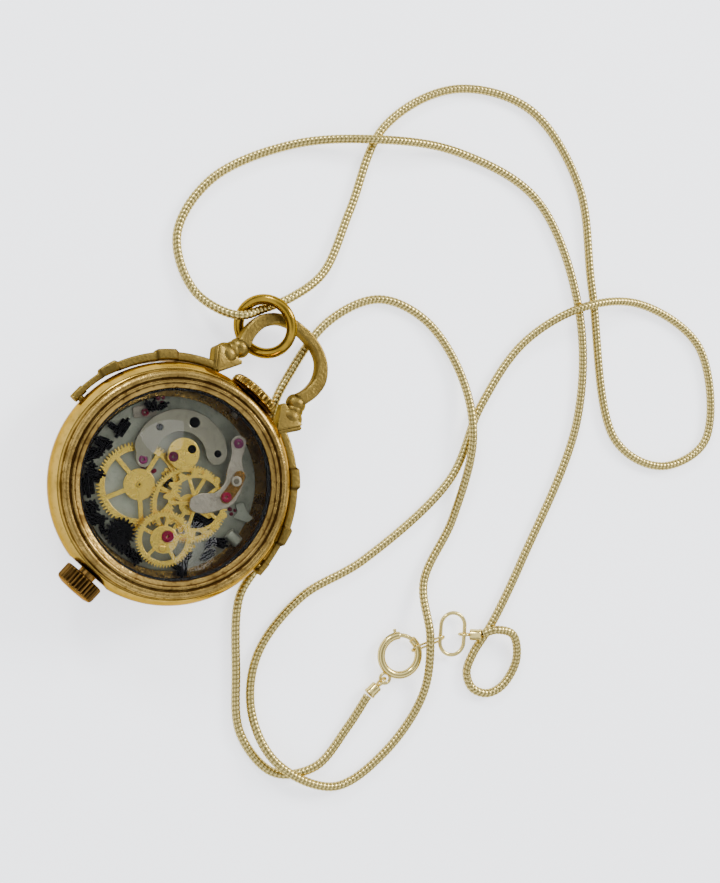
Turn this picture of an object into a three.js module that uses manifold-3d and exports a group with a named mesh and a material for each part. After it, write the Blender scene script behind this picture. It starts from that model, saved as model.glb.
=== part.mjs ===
// Pendant pocket watch on a snake chain: a round case filled with bonded watch parts under a
// glass, hung in a stirrup-shaped bail, with a jump ring, a necklace chain and its clasp.
// Millimetres. +Z is up out of the glass, +Y points to the bail (12 o'clock), +X to 3 o'clock.
// The origin is the middle of the flat foot on the case back.
import * as THREE from 'three';
import { mergeVertices } from 'three/addons/utils/BufferGeometryUtils.js';
import Module from 'manifold-3d';

const wasm = await Module();
wasm.setup();

// ---- driving dimensions ----
const GAP = 0.05; // gap between pieces that touch
const CASE = { foot: 10, backTop: 2.0, maxR: 16.5, seamZ: 5.5, bandTop: 8.7, bore: 13.6 };
const BEZEL = { outerR: 15.35, lipR: 12.4, bottom: 8.75, top: 10.5 };
const GLASS = { radius: 12.9, bottom: 9.0, edge: 0.75, crown: 0.35 };
const PLATE = { radius: 11.7, bottom: 4.2, top: 5.0 };
const BED = PLATE.top + GAP; // where the bonded parts stand
const AXIS_Z = CASE.seamZ; // height of the stems and of the bail's pivots
const TOP_CROWN = { radius: 3.7, from: 16.2, to: 17.7, flutes: 30 };
const BOTTOM_CROWN = { radius: 2.9, from: 16.7, to: 19.3, flutes: 30 };
const STEM = { radius: 0.6, tubeR: 1.25, inner: 12.4 };
const BAIL = { bandIn: 16.65, bandOut: 17.85, thick: 2.5, droop: 5.5 };
const PIVOT = { pinR: 0.45, boreR: 0.75, bushR: 1.15, tip: 15.4 };
const RING = { radius: 3.85, wire: 0.75, centre: [-4.96, 25.31, 3.05], rise: [0.22, 0.66] };
const CHAIN_R = 0.65;
const CHAIN_STEPS = 84;
const CAP = { radius: 0.9, length: 1.8, eye: 0.75, wire: 0.2 };
const CLASP = { centre: [42.75, 5.3, 1.0], radius: 2.9, tube: 0.56, bore: 0.38, bolt: 0.32 };
const CONNECTOR = { centre: [46.9, 13.0, 1.0], halfLength: 3.1, halfWidth: 1.9, wire: 0.28, heading: -51 };
const EYELET_DEG = -82; // where the clasp's eyelet stands on its ring
const TURN = 2 * Math.PI;

// ---- materials ----
const metal = (color, roughness, metalness = 1) =>
  new THREE.MeshStandardMaterial({ color, roughness, metalness });
const CASE_GOLD = metal(0xb8924a, 0.28);
const BEZEL_GOLD = metal(0x9a7b45, 0.45);
const SATIN_BRASS = metal(0x8f7742, 0.5);
const RING_BRASS = metal(0xb8862c, 0.2);
const CHAIN_GOLD = metal(0xd9c47e, 0.3);
const COPPER_GOLD = metal(0x9c6a2c, 0.35);
const PALE_BRASS = metal(0xe6cf7a, 0.3);
const NICKEL = metal(0x8e9190, 0.4);
const KHAKI_STEEL = metal(0x8d8a78, 0.42);
const BRIGHT_STEEL = metal(0xc2beb2, 0.32);
const BLACK_STEEL = metal(0x15161a, 0.5);
const RUBY = metal(0x9c1230, 0.15, 0);
const PLUM_JEWEL = metal(0x86405f, 0.2, 0);
const SEAL = metal(0x202020, 0.7, 0);
const GLASS_CLEAR = new THREE.MeshStandardMaterial({
  color: 0xffffff, roughness: 0.03, opacity: 0.2, transparent: true,
});

// ---- solids ----
/** A closed three.js geometry as a manifold solid. */
function solid(geometry) {
  const bare = geometry.index ? geometry.toNonIndexed() : geometry.clone();
  bare.deleteAttribute('normal');
  bare.deleteAttribute('uv');
  const merged = mergeVertices(bare, 1e-4);
  const vertProperties = new Float32Array(merged.attributes.position.array);
  const triVerts = new Uint32Array(merged.index.array);
  return new wasm.Manifold(new wasm.Mesh({ numProp: 3, vertProperties, triVerts }));
}

/** A manifold solid as a three.js geometry. */
function geometryOf(manifold) {
  const mesh = manifold.getMesh();
  const geometry = new THREE.BufferGeometry();
  geometry.setAttribute('position', new THREE.BufferAttribute(mesh.vertProperties, 3));
  geometry.setIndex(new THREE.BufferAttribute(mesh.triVerts, 1));
  return geometry.toNonIndexed();
}

const unite = (...parts) => geometryOf(parts.map(solid).reduce((sum, part) => sum.add(part)));
const cut = (body, ...tools) =>
  geometryOf(tools.map(solid).reduce((left, tool) => left.subtract(tool), solid(body)));

/** A turned solid about Z from (radius, height) pairs that run outward and up. */
function turned(profile, segments = 36) {
  const outline = profile.map(([r, z]) => new THREE.Vector2(r, z));
  return new THREE.LatheGeometry(outline, segments).rotateX(Math.PI / 2);
}

/** A closed turned ring: the profile runs counter-clockwise and closes on itself. */
const turnedRing = (profile, segments = 36) => turned([...profile, profile[0]], segments);

/** A disc or rod along Z. */
const rod = (x, y, radius, low, high, sides = 16) =>
  new THREE.CylinderGeometry(radius, radius, high - low, sides).rotateX(Math.PI / 2)
    .translate(x, y, (low + high) / 2);

/** A rod along Y in the plane of the stems. */
const rodY = (radius, from, to, sides = 20, x = 0, z = AXIS_Z) =>
  new THREE.CylinderGeometry(radius, radius, to - from, sides).translate(x, (from + to) / 2, z);

/** A rod along X in the plane of the pivots. */
const rodX = (radius, from, to, y = 0, z = AXIS_Z, sides = 16) =>
  new THREE.CylinderGeometry(radius, radius, to - from, sides).rotateZ(Math.PI / 2)
    .translate((from + to) / 2, y, z);

const plate = (shape, low, high, curveSegments = 8) =>
  new THREE.ExtrudeGeometry(shape, { depth: high - low, bevelEnabled: false, curveSegments })
    .translate(0, 0, low);

/** A round bar carried along a curve, with flat ends. */
function bar(path, radius, steps, sides = 8) {
  const section = new THREE.Shape();
  for (let i = 0; i < sides; i++) {
    const angle = (i / sides) * TURN;
    section[i ? 'lineTo' : 'moveTo'](radius * Math.cos(angle), radius * Math.sin(angle));
  }
  section.closePath();
  return new THREE.ExtrudeGeometry(section, { steps, extrudePath: path, bevelEnabled: false });
}

/** Part of a circle in the plane z = 0, angles in degrees. */
class ArcPath extends THREE.Curve {
  constructor(radius, from, to) {
    super();
    Object.assign(this, { radius, from: THREE.MathUtils.degToRad(from), to: THREE.MathUtils.degToRad(to) });
  }

  getPoint(t, target = new THREE.Vector3()) {
    const angle = this.from + (this.to - this.from) * t;
    return target.set(this.radius * Math.cos(angle), this.radius * Math.sin(angle), 0);
  }
}

const ringArc = (radius, tube, from, to, steps, sides = 10) =>
  bar(new ArcPath(radius, from, to), tube, steps, sides);
const torus = (radius, tube, sides = 8, steps = 24) => new THREE.TorusGeometry(radius, tube, sides, steps);

/** A closed link in the plane z = 0, long along X: a wire torus with its two halves drawn apart. */
function ovalLink(halfLength, halfWidth, wire, steps = 16) {
  const geometry = torus(halfWidth, wire, 8, steps).rotateZ(Math.PI / steps);
  const position = geometry.attributes.position;
  for (let i = 0; i < position.count; i++) {
    const x = position.getX(i);
    position.setX(i, x + Math.sign(x) * (halfLength - halfWidth));
  }
  return geometry;
}


/** The outline of a toothed wheel: pointed teeth between root and tip radius. */
function toothedOutline(tip, root, teeth) {
  const shape = new THREE.Shape();
  for (let i = 0; i < teeth * 2; i++) {
    const radius = i % 2 ? root : tip;
    const angle = (i / (teeth * 2)) * TURN;
    shape[i ? 'lineTo' : 'moveTo'](radius * Math.cos(angle), radius * Math.sin(angle));
  }
  shape.closePath();
  return shape;
}

/** One of the openings between two spokes of a wheel. */
function spokeWindow(inner, outer, middle, span, halfSpoke) {
  const edge = (radius) => span / 2 - Math.asin(halfSpoke / radius);
  const window = new THREE.Path();
  window.absarc(0, 0, outer, middle - edge(outer), middle + edge(outer), false);
  window.absarc(0, 0, inner, middle + edge(inner), middle - edge(inner), true);
  window.closePath();
  return window;
}

/** A spoked train wheel about its own axis, from low to high. */
function trainWheel({ tip, root, teeth, rimIn, hub, bore, spokes, halfSpoke, low, high, phase = 0 }) {
  const shape = toothedOutline(tip, root, teeth);
  shape.holes.push(new THREE.Path().absarc(0, 0, bore, 0, TURN));
  const span = TURN / spokes;
  for (let i = 0; i < spokes; i++) {
    shape.holes.push(spokeWindow(hub, rimIn, phase + (i + 0.5) * span, span, halfSpoke));
  }
  return plate(shape, low, high, 5);
}

/** A leaf pinion about Z with its two pivots. */
function leafPinion(leaves, tip, root, length) {
  const body = plate(toothedOutline(tip, root, leaves), -length / 2, length / 2);
  return unite(body, rod(0, 0, root * 0.55, -length / 2 - 0.7, length / 2 + 0.7, 8));
}

// ---- the assembly ----
const watch = new THREE.Group();

/** Adds a named piece to a group, at a place in that group. */
function add(name, geometry, material, { at = [0, 0, 0], turn = [0, 0, 0], into = watch } = {}) {
  const mesh = new THREE.Mesh(geometry, material);
  mesh.name = name;
  mesh.position.set(...at);
  mesh.rotation.set(...turn);
  into.add(mesh);
  return mesh;
}

// ---- case ----
function buildCase() {
  add('back_cover', turned([
    [0, 0], [CASE.foot, 0], [12.4, 0.4], [14.1, 1.1], [15.2, CASE.backTop],
    [13.2, CASE.backTop], [12.6, 1.0], [0, 0.9],
  ]), CASE_GOLD);

  const low = CASE.backTop + GAP;
  const wall = turnedRing([
    [CASE.bore, low], [15.2, low], [16.0, 3.2], [16.4, 4.4], [CASE.maxR, AXIS_Z], [16.4, 6.6],
    [16.05, 7.6], [15.4, CASE.bandTop], [12.5, CASE.bandTop], [12.5, 8.3], [CASE.bore, 7.9],
  ], 48);
  const topPocket = rodY(TOP_CROWN.radius + 0.35, 15.9, 19, 24);
  const bottomPocket = rodY(BOTTOM_CROWN.radius + 0.4, -19, -16.4, 24);
  const topBore = rodY(STEM.tubeR + GAP, 12, 17);
  const bottomBore = rodY(STEM.tubeR + GAP, -17.5, -12);
  const pivotBores = [-1, 1].map((side) => rodX(PIVOT.bushR + GAP, side * 16 - 3, side * 16 + 3));
  add('case_band', cut(wall, topPocket, bottomPocket, topBore, bottomBore, ...pivotBores), CASE_GOLD);

  for (const [name, side] of [['pivot_bush_left', -1], ['pivot_bush_right', 1]]) {
    const length = 16.4 - CASE.bore;
    const bush = turnedRing([
      [PIVOT.boreR, 0], [PIVOT.bushR, 0], [PIVOT.bushR, length], [PIVOT.boreR, length],
    ], 16).rotateY(side * Math.PI / 2).translate(side * CASE.bore, 0, AXIS_Z);
    add(name, bush, COPPER_GOLD);
  }

  add('bezel', turnedRing([
    [13.05, BEZEL.bottom], [15.2, BEZEL.bottom], [BEZEL.outerR, 9.1], [15.3, 9.9], [14.95, 10.35],
    [14.6, BEZEL.top], [14.2, 10.4], [14.05, 10.15], [13.85, 10.35], [13.5, 10.35],
    [BEZEL.lipR, 9.98], [BEZEL.lipR, 9.83], [13.05, 9.83],
  ], 48), BEZEL_GOLD);

  add('crystal_gasket', turnedRing([
    [12.5, CASE.bandTop + GAP], [GLASS.radius, CASE.bandTop + GAP],
    [GLASS.radius, GLASS.bottom - GAP], [12.5, GLASS.bottom - GAP],
  ]), SEAL);

  const rim = GLASS.bottom + GLASS.edge;
  add('crystal', turned([
    [0, GLASS.bottom], [GLASS.radius, GLASS.bottom], [GLASS.radius, rim], [12.3, rim + 0.03],
    [8.5, rim + 0.2], [4.5, rim + 0.31], [0, rim + GLASS.crown],
  ]), GLASS_CLEAR);

  const seat = PLATE.bottom - GAP;
  add('movement_ring', turnedRing([
    [11.0, 1.0 + GAP], [12.5, 1.0 + GAP], [13.1, CASE.backTop], [13.5, CASE.backTop + 0.2], [13.5, seat],
    [11.0, seat],
  ]), BRIGHT_STEEL);
}

// ---- crowns: each is a fluted crown on a stem that slides in a tube through the case ----
function buildCrown(name, crown, side, material) {
  const along = (from, to) => (side > 0 ? [from, to] : [-to, -from]);
  const shell = new THREE.LatheGeometry([
    [0, crown.from], [crown.radius * 0.93, crown.from], [crown.radius, crown.from + 0.2],
    [crown.radius, crown.to - 0.75], [crown.radius * 0.9, crown.to - 0.3],
    [crown.radius * 0.62, crown.to - 0.08], [0, crown.to],
  ].map(([r, y]) => new THREE.Vector2(r, y)), crown.flutes * 2);
  flute(shell, crown, 0.17);
  if (side < 0) shell.rotateZ(Math.PI);
  shell.translate(0, 0, AXIS_Z);
  const socket = rodY(STEM.radius + GAP, ...along(crown.from - 1, crown.from + 0.8), 12);
  add(name, cut(shell, socket), material);

  add(`${name}_stem`, rodY(STEM.radius, ...along(STEM.inner, crown.from + 0.7), 12), BRIGHT_STEEL);

  const tubeEnd = crown.from - GAP;
  const pipe = rodY(STEM.tubeR, ...along(13.0, tubeEnd), 20);
  add(`${name}_tube`, cut(pipe, rodY(STEM.radius + GAP, ...along(12, tubeEnd + 1), 12)), COPPER_GOLD);
}

/** Draws in every second column of a turned crown, between its two rims, to make its flutes. */
function flute(geometry, crown, depth) {
  const position = geometry.attributes.position;
  for (let i = 0; i < position.count; i++) {
    const [x, y, z] = [position.getX(i), position.getY(i), position.getZ(i)];
    const radius = Math.hypot(x, z);
    const column = Math.round((Math.atan2(x, z) / TURN) * crown.flutes * 2);
    if (radius > crown.radius * 0.95 && column % 2 !== 0) {
      position.setXYZ(i, x * (1 - depth / radius), y, z * (1 - depth / radius));
    }
  }
}

// ---- bail: a stirrup cast in one piece, flat, whose two tips turn in the case ----
function fatArc(centreR, halfWidth, fromDeg, toDeg) {
  const [from, to] = [fromDeg, toDeg].map(THREE.MathUtils.degToRad);
  const shape = new THREE.Shape();
  shape.absarc(0, 0, centreR + halfWidth, from, to, false);
  shape.absarc(0, 0, centreR - halfWidth, to, from, true);
  shape.closePath();
  return shape;
}

/** One half of the stirrup, on the +X side, about the pivot at the origin. */
function stirrupArm(side) {
  const middle = (BAIL.bandIn + BAIL.bandOut) / 2;
  const half = (BAIL.bandOut - BAIL.bandIn) / 2;
  const arc = (inner, outer, from, to, thick) => {
    const shape = fatArc((inner + outer) / 2, (outer - inner) / 2, from, to);
    return plate(shape, -thick / 2, thick / 2, 6);
  };
  const pieces = [
    arc(BAIL.bandIn, BAIL.bandOut, 20, 68, BAIL.thick),
    arc(BAIL.bandIn, BAIL.bandOut + 0.45, 40, 50, BAIL.thick + 0.3),
    arc(BAIL.bandIn, BAIL.bandOut + 0.4, 15, 22, BAIL.thick - 0.2),
    arc(middle - half, middle + half, 0, 20, 1.3),
    rodX(PIVOT.pinR, PIVOT.tip, middle + 0.4, 0, 0, 12),
    rodY(0.62, -0.6, 1.2, 12, middle, 0),
  ];
  const arrow = new THREE.CylinderGeometry(0.15, 2.4, 3.4, 4).rotateY(Math.PI / 4)
    .translate(0, 1.7, 0).scale(1, 1, 0.82);
  const collar = new THREE.CylinderGeometry(1.5, 1.3, 0.7, 16).translate(0, -0.3, 0).scale(1, 1, 1.1);
  const lean = THREE.MathUtils.degToRad(54);
  pieces.push(arrow.rotateZ(lean).translate(6.9, 17.0, 0), collar.rotateZ(lean).translate(6.9, 17.0, 0));
  pieces.push(new THREE.SphereGeometry(1.4, 8, 6).scale(1.2, 1, 0.92).translate(6.35, 18.85, 0));
  pieces.push(new THREE.SphereGeometry(1.25, 8, 6).translate(5.65, 20.5, 0));
  const geometry = unite(...pieces);
  return side > 0 ? geometry : geometry.rotateY(Math.PI);
}

/** The keyhole-shaped arch at the top of the stirrup. */
function stirrupArch() {
  const shape = new THREE.Shape();
  shape.moveTo(4.5, 21.2);
  shape.bezierCurveTo(5.4, 22.6, 5.4, 24.8, 4.3, 26.3);
  shape.bezierCurveTo(3.2, 27.8, 1.4, 28.0, 0, 28.0);
  shape.bezierCurveTo(-1.4, 28.0, -3.2, 27.8, -4.3, 26.3);
  shape.bezierCurveTo(-5.4, 24.8, -5.4, 22.6, -4.5, 21.2);
  shape.lineTo(-6.5, 20.9);
  shape.bezierCurveTo(-7.2, 22.2, -7.5, 24.4, -6.4, 26.4);
  shape.bezierCurveTo(-5.0, 28.7, -2.4, 29.5, 0, 29.5);
  shape.bezierCurveTo(2.4, 29.5, 5.0, 28.7, 6.4, 26.4);
  shape.bezierCurveTo(7.5, 24.4, 7.2, 22.2, 6.5, 20.9);
  shape.closePath();
  const bevel = 0.35;
  return new THREE.ExtrudeGeometry(shape, {
    depth: BAIL.thick - 0.2 - 2 * bevel, curveSegments: 4, bevelEnabled: true,
    bevelThickness: bevel, bevelSize: bevel * 0.7, bevelOffset: -bevel * 0.7, bevelSegments: 1,
  }).translate(0, 0, -(BAIL.thick - 0.2 - 2 * bevel) / 2);
}

function buildBail() {
  const hung = new THREE.Group();
  hung.position.set(0, 0, AXIS_Z);
  hung.rotation.x = -THREE.MathUtils.degToRad(BAIL.droop);
  watch.add(hung);
  add('bail_stirrup', unite(stirrupArm(1), stirrupArm(-1), stirrupArch()), SATIN_BRASS, { into: hung });
}

// ---- the bonded watch parts under the glass ----
/** A slim strip that follows an arc and ends in two round lobes. */
function arcStrip(centreR, halfWidth, fromDeg, toDeg) {
  const [from, to] = [fromDeg, toDeg].map(THREE.MathUtils.degToRad);
  const end = (angle) => [centreR * Math.cos(angle), centreR * Math.sin(angle)];
  const shape = new THREE.Shape();
  shape.absarc(0, 0, centreR + halfWidth, from, to, false);
  shape.absarc(...end(to), halfWidth, to, to + Math.PI, false);
  shape.absarc(0, 0, centreR - halfWidth, to, from, true);
  shape.absarc(...end(from), halfWidth, from + Math.PI, from + TURN, false);
  shape.closePath();
  return shape;
}

function buildPlateAndBridge() {
  const { radius, bottom, top: face } = PLATE;
  add('main_plate', turned([[0, bottom], [radius, bottom], [radius, face], [0, face]]), NICKEL);

  const [cx, cy] = [-1.7, 3.35];
  const [under, top] = [6.0, 6.7];
  const wide = plate(arcStrip(4.95, 1.55, 48, 205), under, top, 10).translate(cx, cy, 0);
  const leg = plate(arcStrip(5.0, 1.05, 200, 227), under, top, 6).translate(cx, cy, 0);
  const posts = [[-6.5, 4.3], [-3.5, 8.0], [1.7, 7.1]].map(([x, y]) => rod(x, y, 0.95, BED, under + 0.1, 12));
  const holes = [[-6.5, 4.3, 0.55], [-3.5, 8.0, 0.75], [1.7, 7.1, 0.55], [-5.15, -0.35, 0.66]]
    .map(([x, y, r]) => rod(x, y, r, under - 0.01 + (y > 0 ? 0.15 : -0.1), top + 1, 12));
  add('train_bridge', cut(unite(wide, leg, ...posts), ...holes), KHAKI_STEEL);
  add('bridge_jewel', rod(-5.15, -0.35, 0.6, 6.1, 6.6, 12), RUBY);

  const cap = [-1.75, 3.9];
  add('cap_disc', cut(unite(rod(...cap, 2.12, 6.35, 6.8, 28), rod(...cap, 0.5, BED, 6.4, 10)),
    rod(-2.5, 2.65, 0.75, 6.5, 7.5, 14), rod(-1.35, 5.1, 0.6, 6.5, 7.5, 14)), PALE_BRASS);
  add('cap_jewel', rod(-2.5, 2.65, 0.7, 6.55, 6.85, 14), PLUM_JEWEL);
}

function buildWheels() {
  const wheels = [
    { name: 'great_wheel', x: -3.1, y: -3.0, tip: 5.7, root: 5.2, teeth: 72, rimIn: 4.55, hub: 2.1,
      bore: 0.4, spokes: 5, halfSpoke: 0.3, low: 5.35, high: 5.6, phase: 0.5, material: PALE_BRASS },
    { name: 'third_wheel', x: 3.6, y: -0.45, tip: 5.3, root: 4.9, teeth: 80, rimIn: 4.3, hub: 1.4,
      bore: 0.4, spokes: 4, halfSpoke: 0.28, low: 5.8, high: 6.05, phase: 0.2, material: PALE_BRASS },
    { name: 'fourth_wheel', x: 4.0, y: -6.2, tip: 3.85, root: 3.5, teeth: 56, rimIn: 2.95, hub: 0.9,
      bore: 0.35, spokes: 5, halfSpoke: 0.24, low: 7.2, high: 7.45, phase: 0.9, material: PALE_BRASS },
    { name: 'escape_wheel', x: 4.1, y: 0.3, tip: 4.6, root: 3.9, teeth: 15, rimIn: 3.35, hub: 0.8,
      bore: 0.35, spokes: 5, halfSpoke: 0.22, low: 6.4, high: 6.62, phase: 0.1, material: PALE_BRASS },
  ];
  for (const { name, x, y, material, ...wheel } of wheels) {
    add(name, trainWheel(wheel), material, { at: [x, y, 0] });
  }
  const arbors = [
    ['great_wheel_arbor', -3.1, -3.0, 0.34, BED, 5.85],
    ['third_wheel_arbor', 3.6, -0.45, 0.34, BED, 6.3],
    ['fourth_wheel_arbor', 4.0, -6.2, 0.3, BED, 7.47],
    ['escape_wheel_arbor', 4.1, 0.3, 0.3, 6.1, 7.0],
  ];
  for (const [name, x, y, radius, low, high] of arbors) {
    add(name, rod(x, y, radius, low, high, 10), PALE_BRASS);
  }
  const hub = rod(4.0, -6.3, 1.85, 7.5, 7.85, 24);
  const hubSeats = [rod(4.1, -5.7, 0.86, 7.6, 8.2, 14), rod(4.6, -7.3, 0.5, 7.6, 8.2, 10)];
  add('hub_disc', cut(hub, ...hubSeats), PALE_BRASS);
  add('hub_jewel', rod(4.1, -5.7, 0.8, 7.65, 7.95, 14), RUBY);
  add('hub_pin', rod(4.6, -7.3, 0.45, 7.65, 8.05, 10), PALE_BRASS);
}

function buildCock() {
  const [under, top] = [7.1, 7.6];
  const outline = [
    [1.7, 9.6], [2.0, 10.8], [3.1, 11.0], [3.8, 10.1], [4.5, 8.7], [6.2, 7.3], [7.3, 5.6], [7.7, 3.6],
    [6.9, 1.6], [5.2, -0.5], [3.8, -0.9], [3.0, 0.2], [3.6, 1.6], [4.9, 3.0], [4.9, 4.8], [3.9, 6.4],
    [3.0, 8.2],
  ].map(([x, y]) => new THREE.Vector2(x, y));
  const shape = new THREE.Shape().setFromPoints(
    new THREE.SplineCurve([...outline, outline[0]]).getPoints(34).slice(0, -1));
  const arm = plate(shape, under, top);
  const posts = [rod(2.65, 9.95, 0.7, BED, under + 0.1, 12), rod(5.9, 6.0, 0.7, BED, under + 0.1, 12)];
  add('escape_cock', unite(arm, ...posts), BRIGHT_STEEL);

  const inlay = plate(arcStrip(9.0, 0.72, -8, 14), top + GAP, top + 0.2, 6).rotateZ(0.12)
    .translate(-2.6, 3.6, 0);
  add('cock_inlay', inlay, COPPER_GOLD);
  const seats = [
    ['cock_screw', 5.9, 6.0, 0.75, BRIGHT_STEEL, top + 0.25, top + 0.55],
    ['cock_jewel', 6.35, 3.5, 0.72, RUBY, top + 0.25, top + 0.5],
    ['cock_end_jewel', 2.65, 9.95, 0.68, PLUM_JEWEL, top + GAP, top + 0.25],
  ];
  for (const [name, x, y, radius, material, low, high] of seats) {
    add(name, rod(x, y, radius, low, high, 16), material);
  }
}

function buildLooseParts() {
  const gear = plate(toothedOutline(2.1, 1.62, 20), 5.7, 6.2);
  add('click_gear', unite(gear, rod(0, 0, 0.8, BED, 5.8, 12), rod(0, 0, 0.5, 6.1, 6.6, 10)), BLACK_STEEL,
    { at: [-0.6, -9.4, 0] });

  // leaf pinions lie on their sides on the plate: x, y, heading in degrees, leaves, radius, length
  const pinions = [
    [-10.4, -4.6, 66, 8, 0.62, 3.0], [-9.9, 0.9, 100, 8, 0.7, 2.2], [-8.0, -7.7, 140, 8, 0.8, 2.4],
    [-4.9, -10.6, 20, 8, 0.75, 2.2], [8.8, -7.2, 130, 8, 0.7, 2.2], [10.2, -3.6, 75, 7, 0.55, 1.6],
  ];
  pinions.forEach(([x, y, heading, leaves, radius, length], index) => {
    const geometry = leafPinion(leaves, radius, radius * 0.62, length).rotateX(Math.PI / 2)
      .rotateZ(THREE.MathUtils.degToRad(heading - 90));
    add(`leaf_pinion_${index + 1}`, geometry, BLACK_STEEL, { at: [x, y, BED + radius] });
  });

  add('stud', rodX(0.85, -1, 1, 0, 0, 14), NICKEL, { at: [11.2, 0.4, BED + 0.86] });
  const shapeOf = (corners) => new THREE.Shape(corners.map(([x, y]) => new THREE.Vector2(x, y)));
  const lever = shapeOf([[0, 0], [2.2, 0.3], [2.6, 1.2], [1.6, 1.5], [0.4, 2.6], [-0.6, 1.8], [0.3, 1.0]]);
  add('setting_lever', plate(lever, BED, BED + 0.35), NICKEL, { at: [9.4, 2.4, 0], turn: [0, 0, 0.3] });
  const strip = shapeOf([[-1.6, -0.7], [1.4, -0.9], [1.8, 0.5], [0.2, 0.9], [-1.5, 0.8]]);
  add('steel_strip', plate(strip, BED, BED + 0.3), BRIGHT_STEEL, { at: [-9.2, 4.6, 0], turn: [0, 0, 0.9] });
  add('loose_jewel', rod(-9.1, 4.5, 0.5, BED + 0.35, BED + 0.7, 12), RUBY);
}

// ---- jump ring and necklace ----
/** The centre line of the chain from the clasp end to the plain end, x, y and height. */
const CHAIN_ROUTE = [
  [43.0, -2.2, 1.0], [43.9, -7.6, 0.66], [44.0, -14.7, 0.66], [39.8, -19.2, 0.66], [32.2, -18.3, 0.66],
  [25.6, -12.2, 0.66], [18.9, -4.4, 0.66], [17.75, 1.0, 0.66], [15.3, 9.0, 0.66], [4.9, 17.1, 0.66],
  [2.4, 24.2, 0.66], [1.6, 33.4, 0.66], [4.8, 40.9, 0.66], [12.0, 43.8, 0.66], [21.5, 41.8, 1.1],
  [29.0, 36.0, 2.25], [35.3, 25.3, 0.9], [38.2, 15.5, 1.1], [44.0, 9.8, 3.0], [49.4, 3.4, 1.2],
  [50.8, -6.4, 0.66], [48.1, -14.9, 1.1], [38.6, -18.0, 2.3], [31.5, -15.2, 0.85], [26.5, -8.7, 0.66],
  [25.7, 1.4, 0.66], [29.1, 11.7, 0.66], [31.0, 29.5, 0.66], [27.1, 40.9, 0.66], [25.6, 52.8, 1.0],
  [28.8, 63.4, 2.3], [36.5, 71.4, 0.9], [48.3, 73.5, 0.66], [58.8, 63.7, 0.66], [55.9, 55.4, 0.66],
  [47.1, 52.7, 0.66], [28.3, 66.7, 0.66], [15.6, 76.7, 0.66], [2.2, 79.0, 0.66], [-8.2, 72.1, 0.66],
  [-11.9, 59.7, 0.66], [-7.2, 47.1, 0.66], [-3.9, 37.6, 1.2], [-4.95, 31.25, 2.6], [-6.66, 27.3, 2.95],
  [-8.95, 23.5, 3.5], [-15.3, 22.2, 1.2], [-22.3, 26.2, 0.66], [-24.3, 35.2, 0.66], [-19.8, 47.2, 0.9],
  [-11.7, 56.8, 2.25], [-1.2, 65.7, 0.8], [12.4, 69.9, 0.66], [28.2, 63.3, 0.66], [40.2, 50.4, 0.66],
  [48.0, 28.6, 0.66], [50.8, 18.4, 0.66], [51.6, 13.0, 0.66], [52.7, 10.4, 0.66], [55.0, 9.3, 0.66],
  [57.4, 10.3, 0.66], [58.5, 12.8, 0.66], [57.5, 17.0, 0.9], [54.2, 19.2, 1.7], [51.3, 17.8, 2.35],
  [50.1, 15.9, 2.1],
];

/** The chain's curve: its steps follow its points, so tight stretches get more of them. */
class ChainPath extends THREE.CatmullRomCurve3 {
  getPointAt(u, target) {
    return this.getPoint(u, target);
  }

  getTangentAt(u, target) {
    return this.getTangent(u, target);
  }
}

/** A turned end cap whose eye is ahead of it, laid so that the eye's centre is at a place. */
function endCap(name, eyeAt, direction) {
  const start = -CAP.eye - CAP.length;
  const barrel = new THREE.CylinderGeometry(CAP.radius, CAP.radius, CAP.length, 14)
    .translate(0, start + CAP.length / 2, 0);
  const eye = torus(CAP.eye, CAP.wire, 8, 14).rotateY(Math.PI / 2);
  const pocket = new THREE.CylinderGeometry(CHAIN_R + 0.12, CHAIN_R + 0.12, 2, 12).translate(0, start, 0);
  const heading = new THREE.Vector3(...direction).normalize();
  const side = new THREE.Vector3().crossVectors(heading, new THREE.Vector3(0, 0, 1)).normalize();
  const cap = add(name, cut(unite(barrel, eye), pocket), CHAIN_GOLD, { at: eyeAt });
  const basis = new THREE.Matrix4().makeBasis(side, heading, side.clone().cross(heading));
  cap.quaternion.setFromRotationMatrix(basis);
}

function buildJumpRing() {
  const normal = new THREE.Vector3(-RING.rise[0], -RING.rise[1], 1).normalize();
  const ring = add('jump_ring', torus(RING.radius, RING.wire, 10, 28), RING_BRASS, { at: RING.centre });
  ring.quaternion.setFromUnitVectors(new THREE.Vector3(0, 0, 1), normal);
}

function buildChain() {
  const path = new ChainPath(CHAIN_ROUTE.map((point) => new THREE.Vector3(...point)));
  add('chain', bar(path, CHAIN_R, CHAIN_STEPS), CHAIN_GOLD);
}

/** A spring ring: a curved tube with a gap that a sliding bolt closes, and an eyelet on it. */
function buildClasp() {
  const place = { at: CLASP.centre };
  const turnTo = (geometry, deg) => geometry.rotateZ(THREE.MathUtils.degToRad(deg));
  const ring = ringArc(CLASP.radius, CLASP.tube, 134, 454, 22);
  const bore = ringArc(CLASP.radius, CLASP.bore, 128, 222, 9);
  const slot = [146, 158, 170].map((deg) =>
    turnTo(new THREE.BoxGeometry(0.9, 0.9, 0.62).translate(CLASP.radius + 0.5, 0, 0), deg));
  const eyelet = turnTo(torus(0.75, 0.22, 8, 14).translate(CLASP.radius + 1.1, 0, 0), EYELET_DEG);
  add('clasp_body', unite(cut(ring, bore, ...slot), eyelet), CHAIN_GOLD, place);

  const knob = turnTo(new THREE.CylinderGeometry(0.26, 0.26, 1.1, 10).rotateZ(-Math.PI / 2)
    .translate(CLASP.radius + 0.5, 0, 0), 146);
  add('clasp_bolt', unite(ringArc(CLASP.radius, CLASP.bolt, 97, 160, 8, 8), knob), CHAIN_GOLD, place);
  add('clasp_spring', ringArc(CLASP.radius, CLASP.bolt, 196, 220, 4, 8), BRIGHT_STEEL, place);
}

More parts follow.
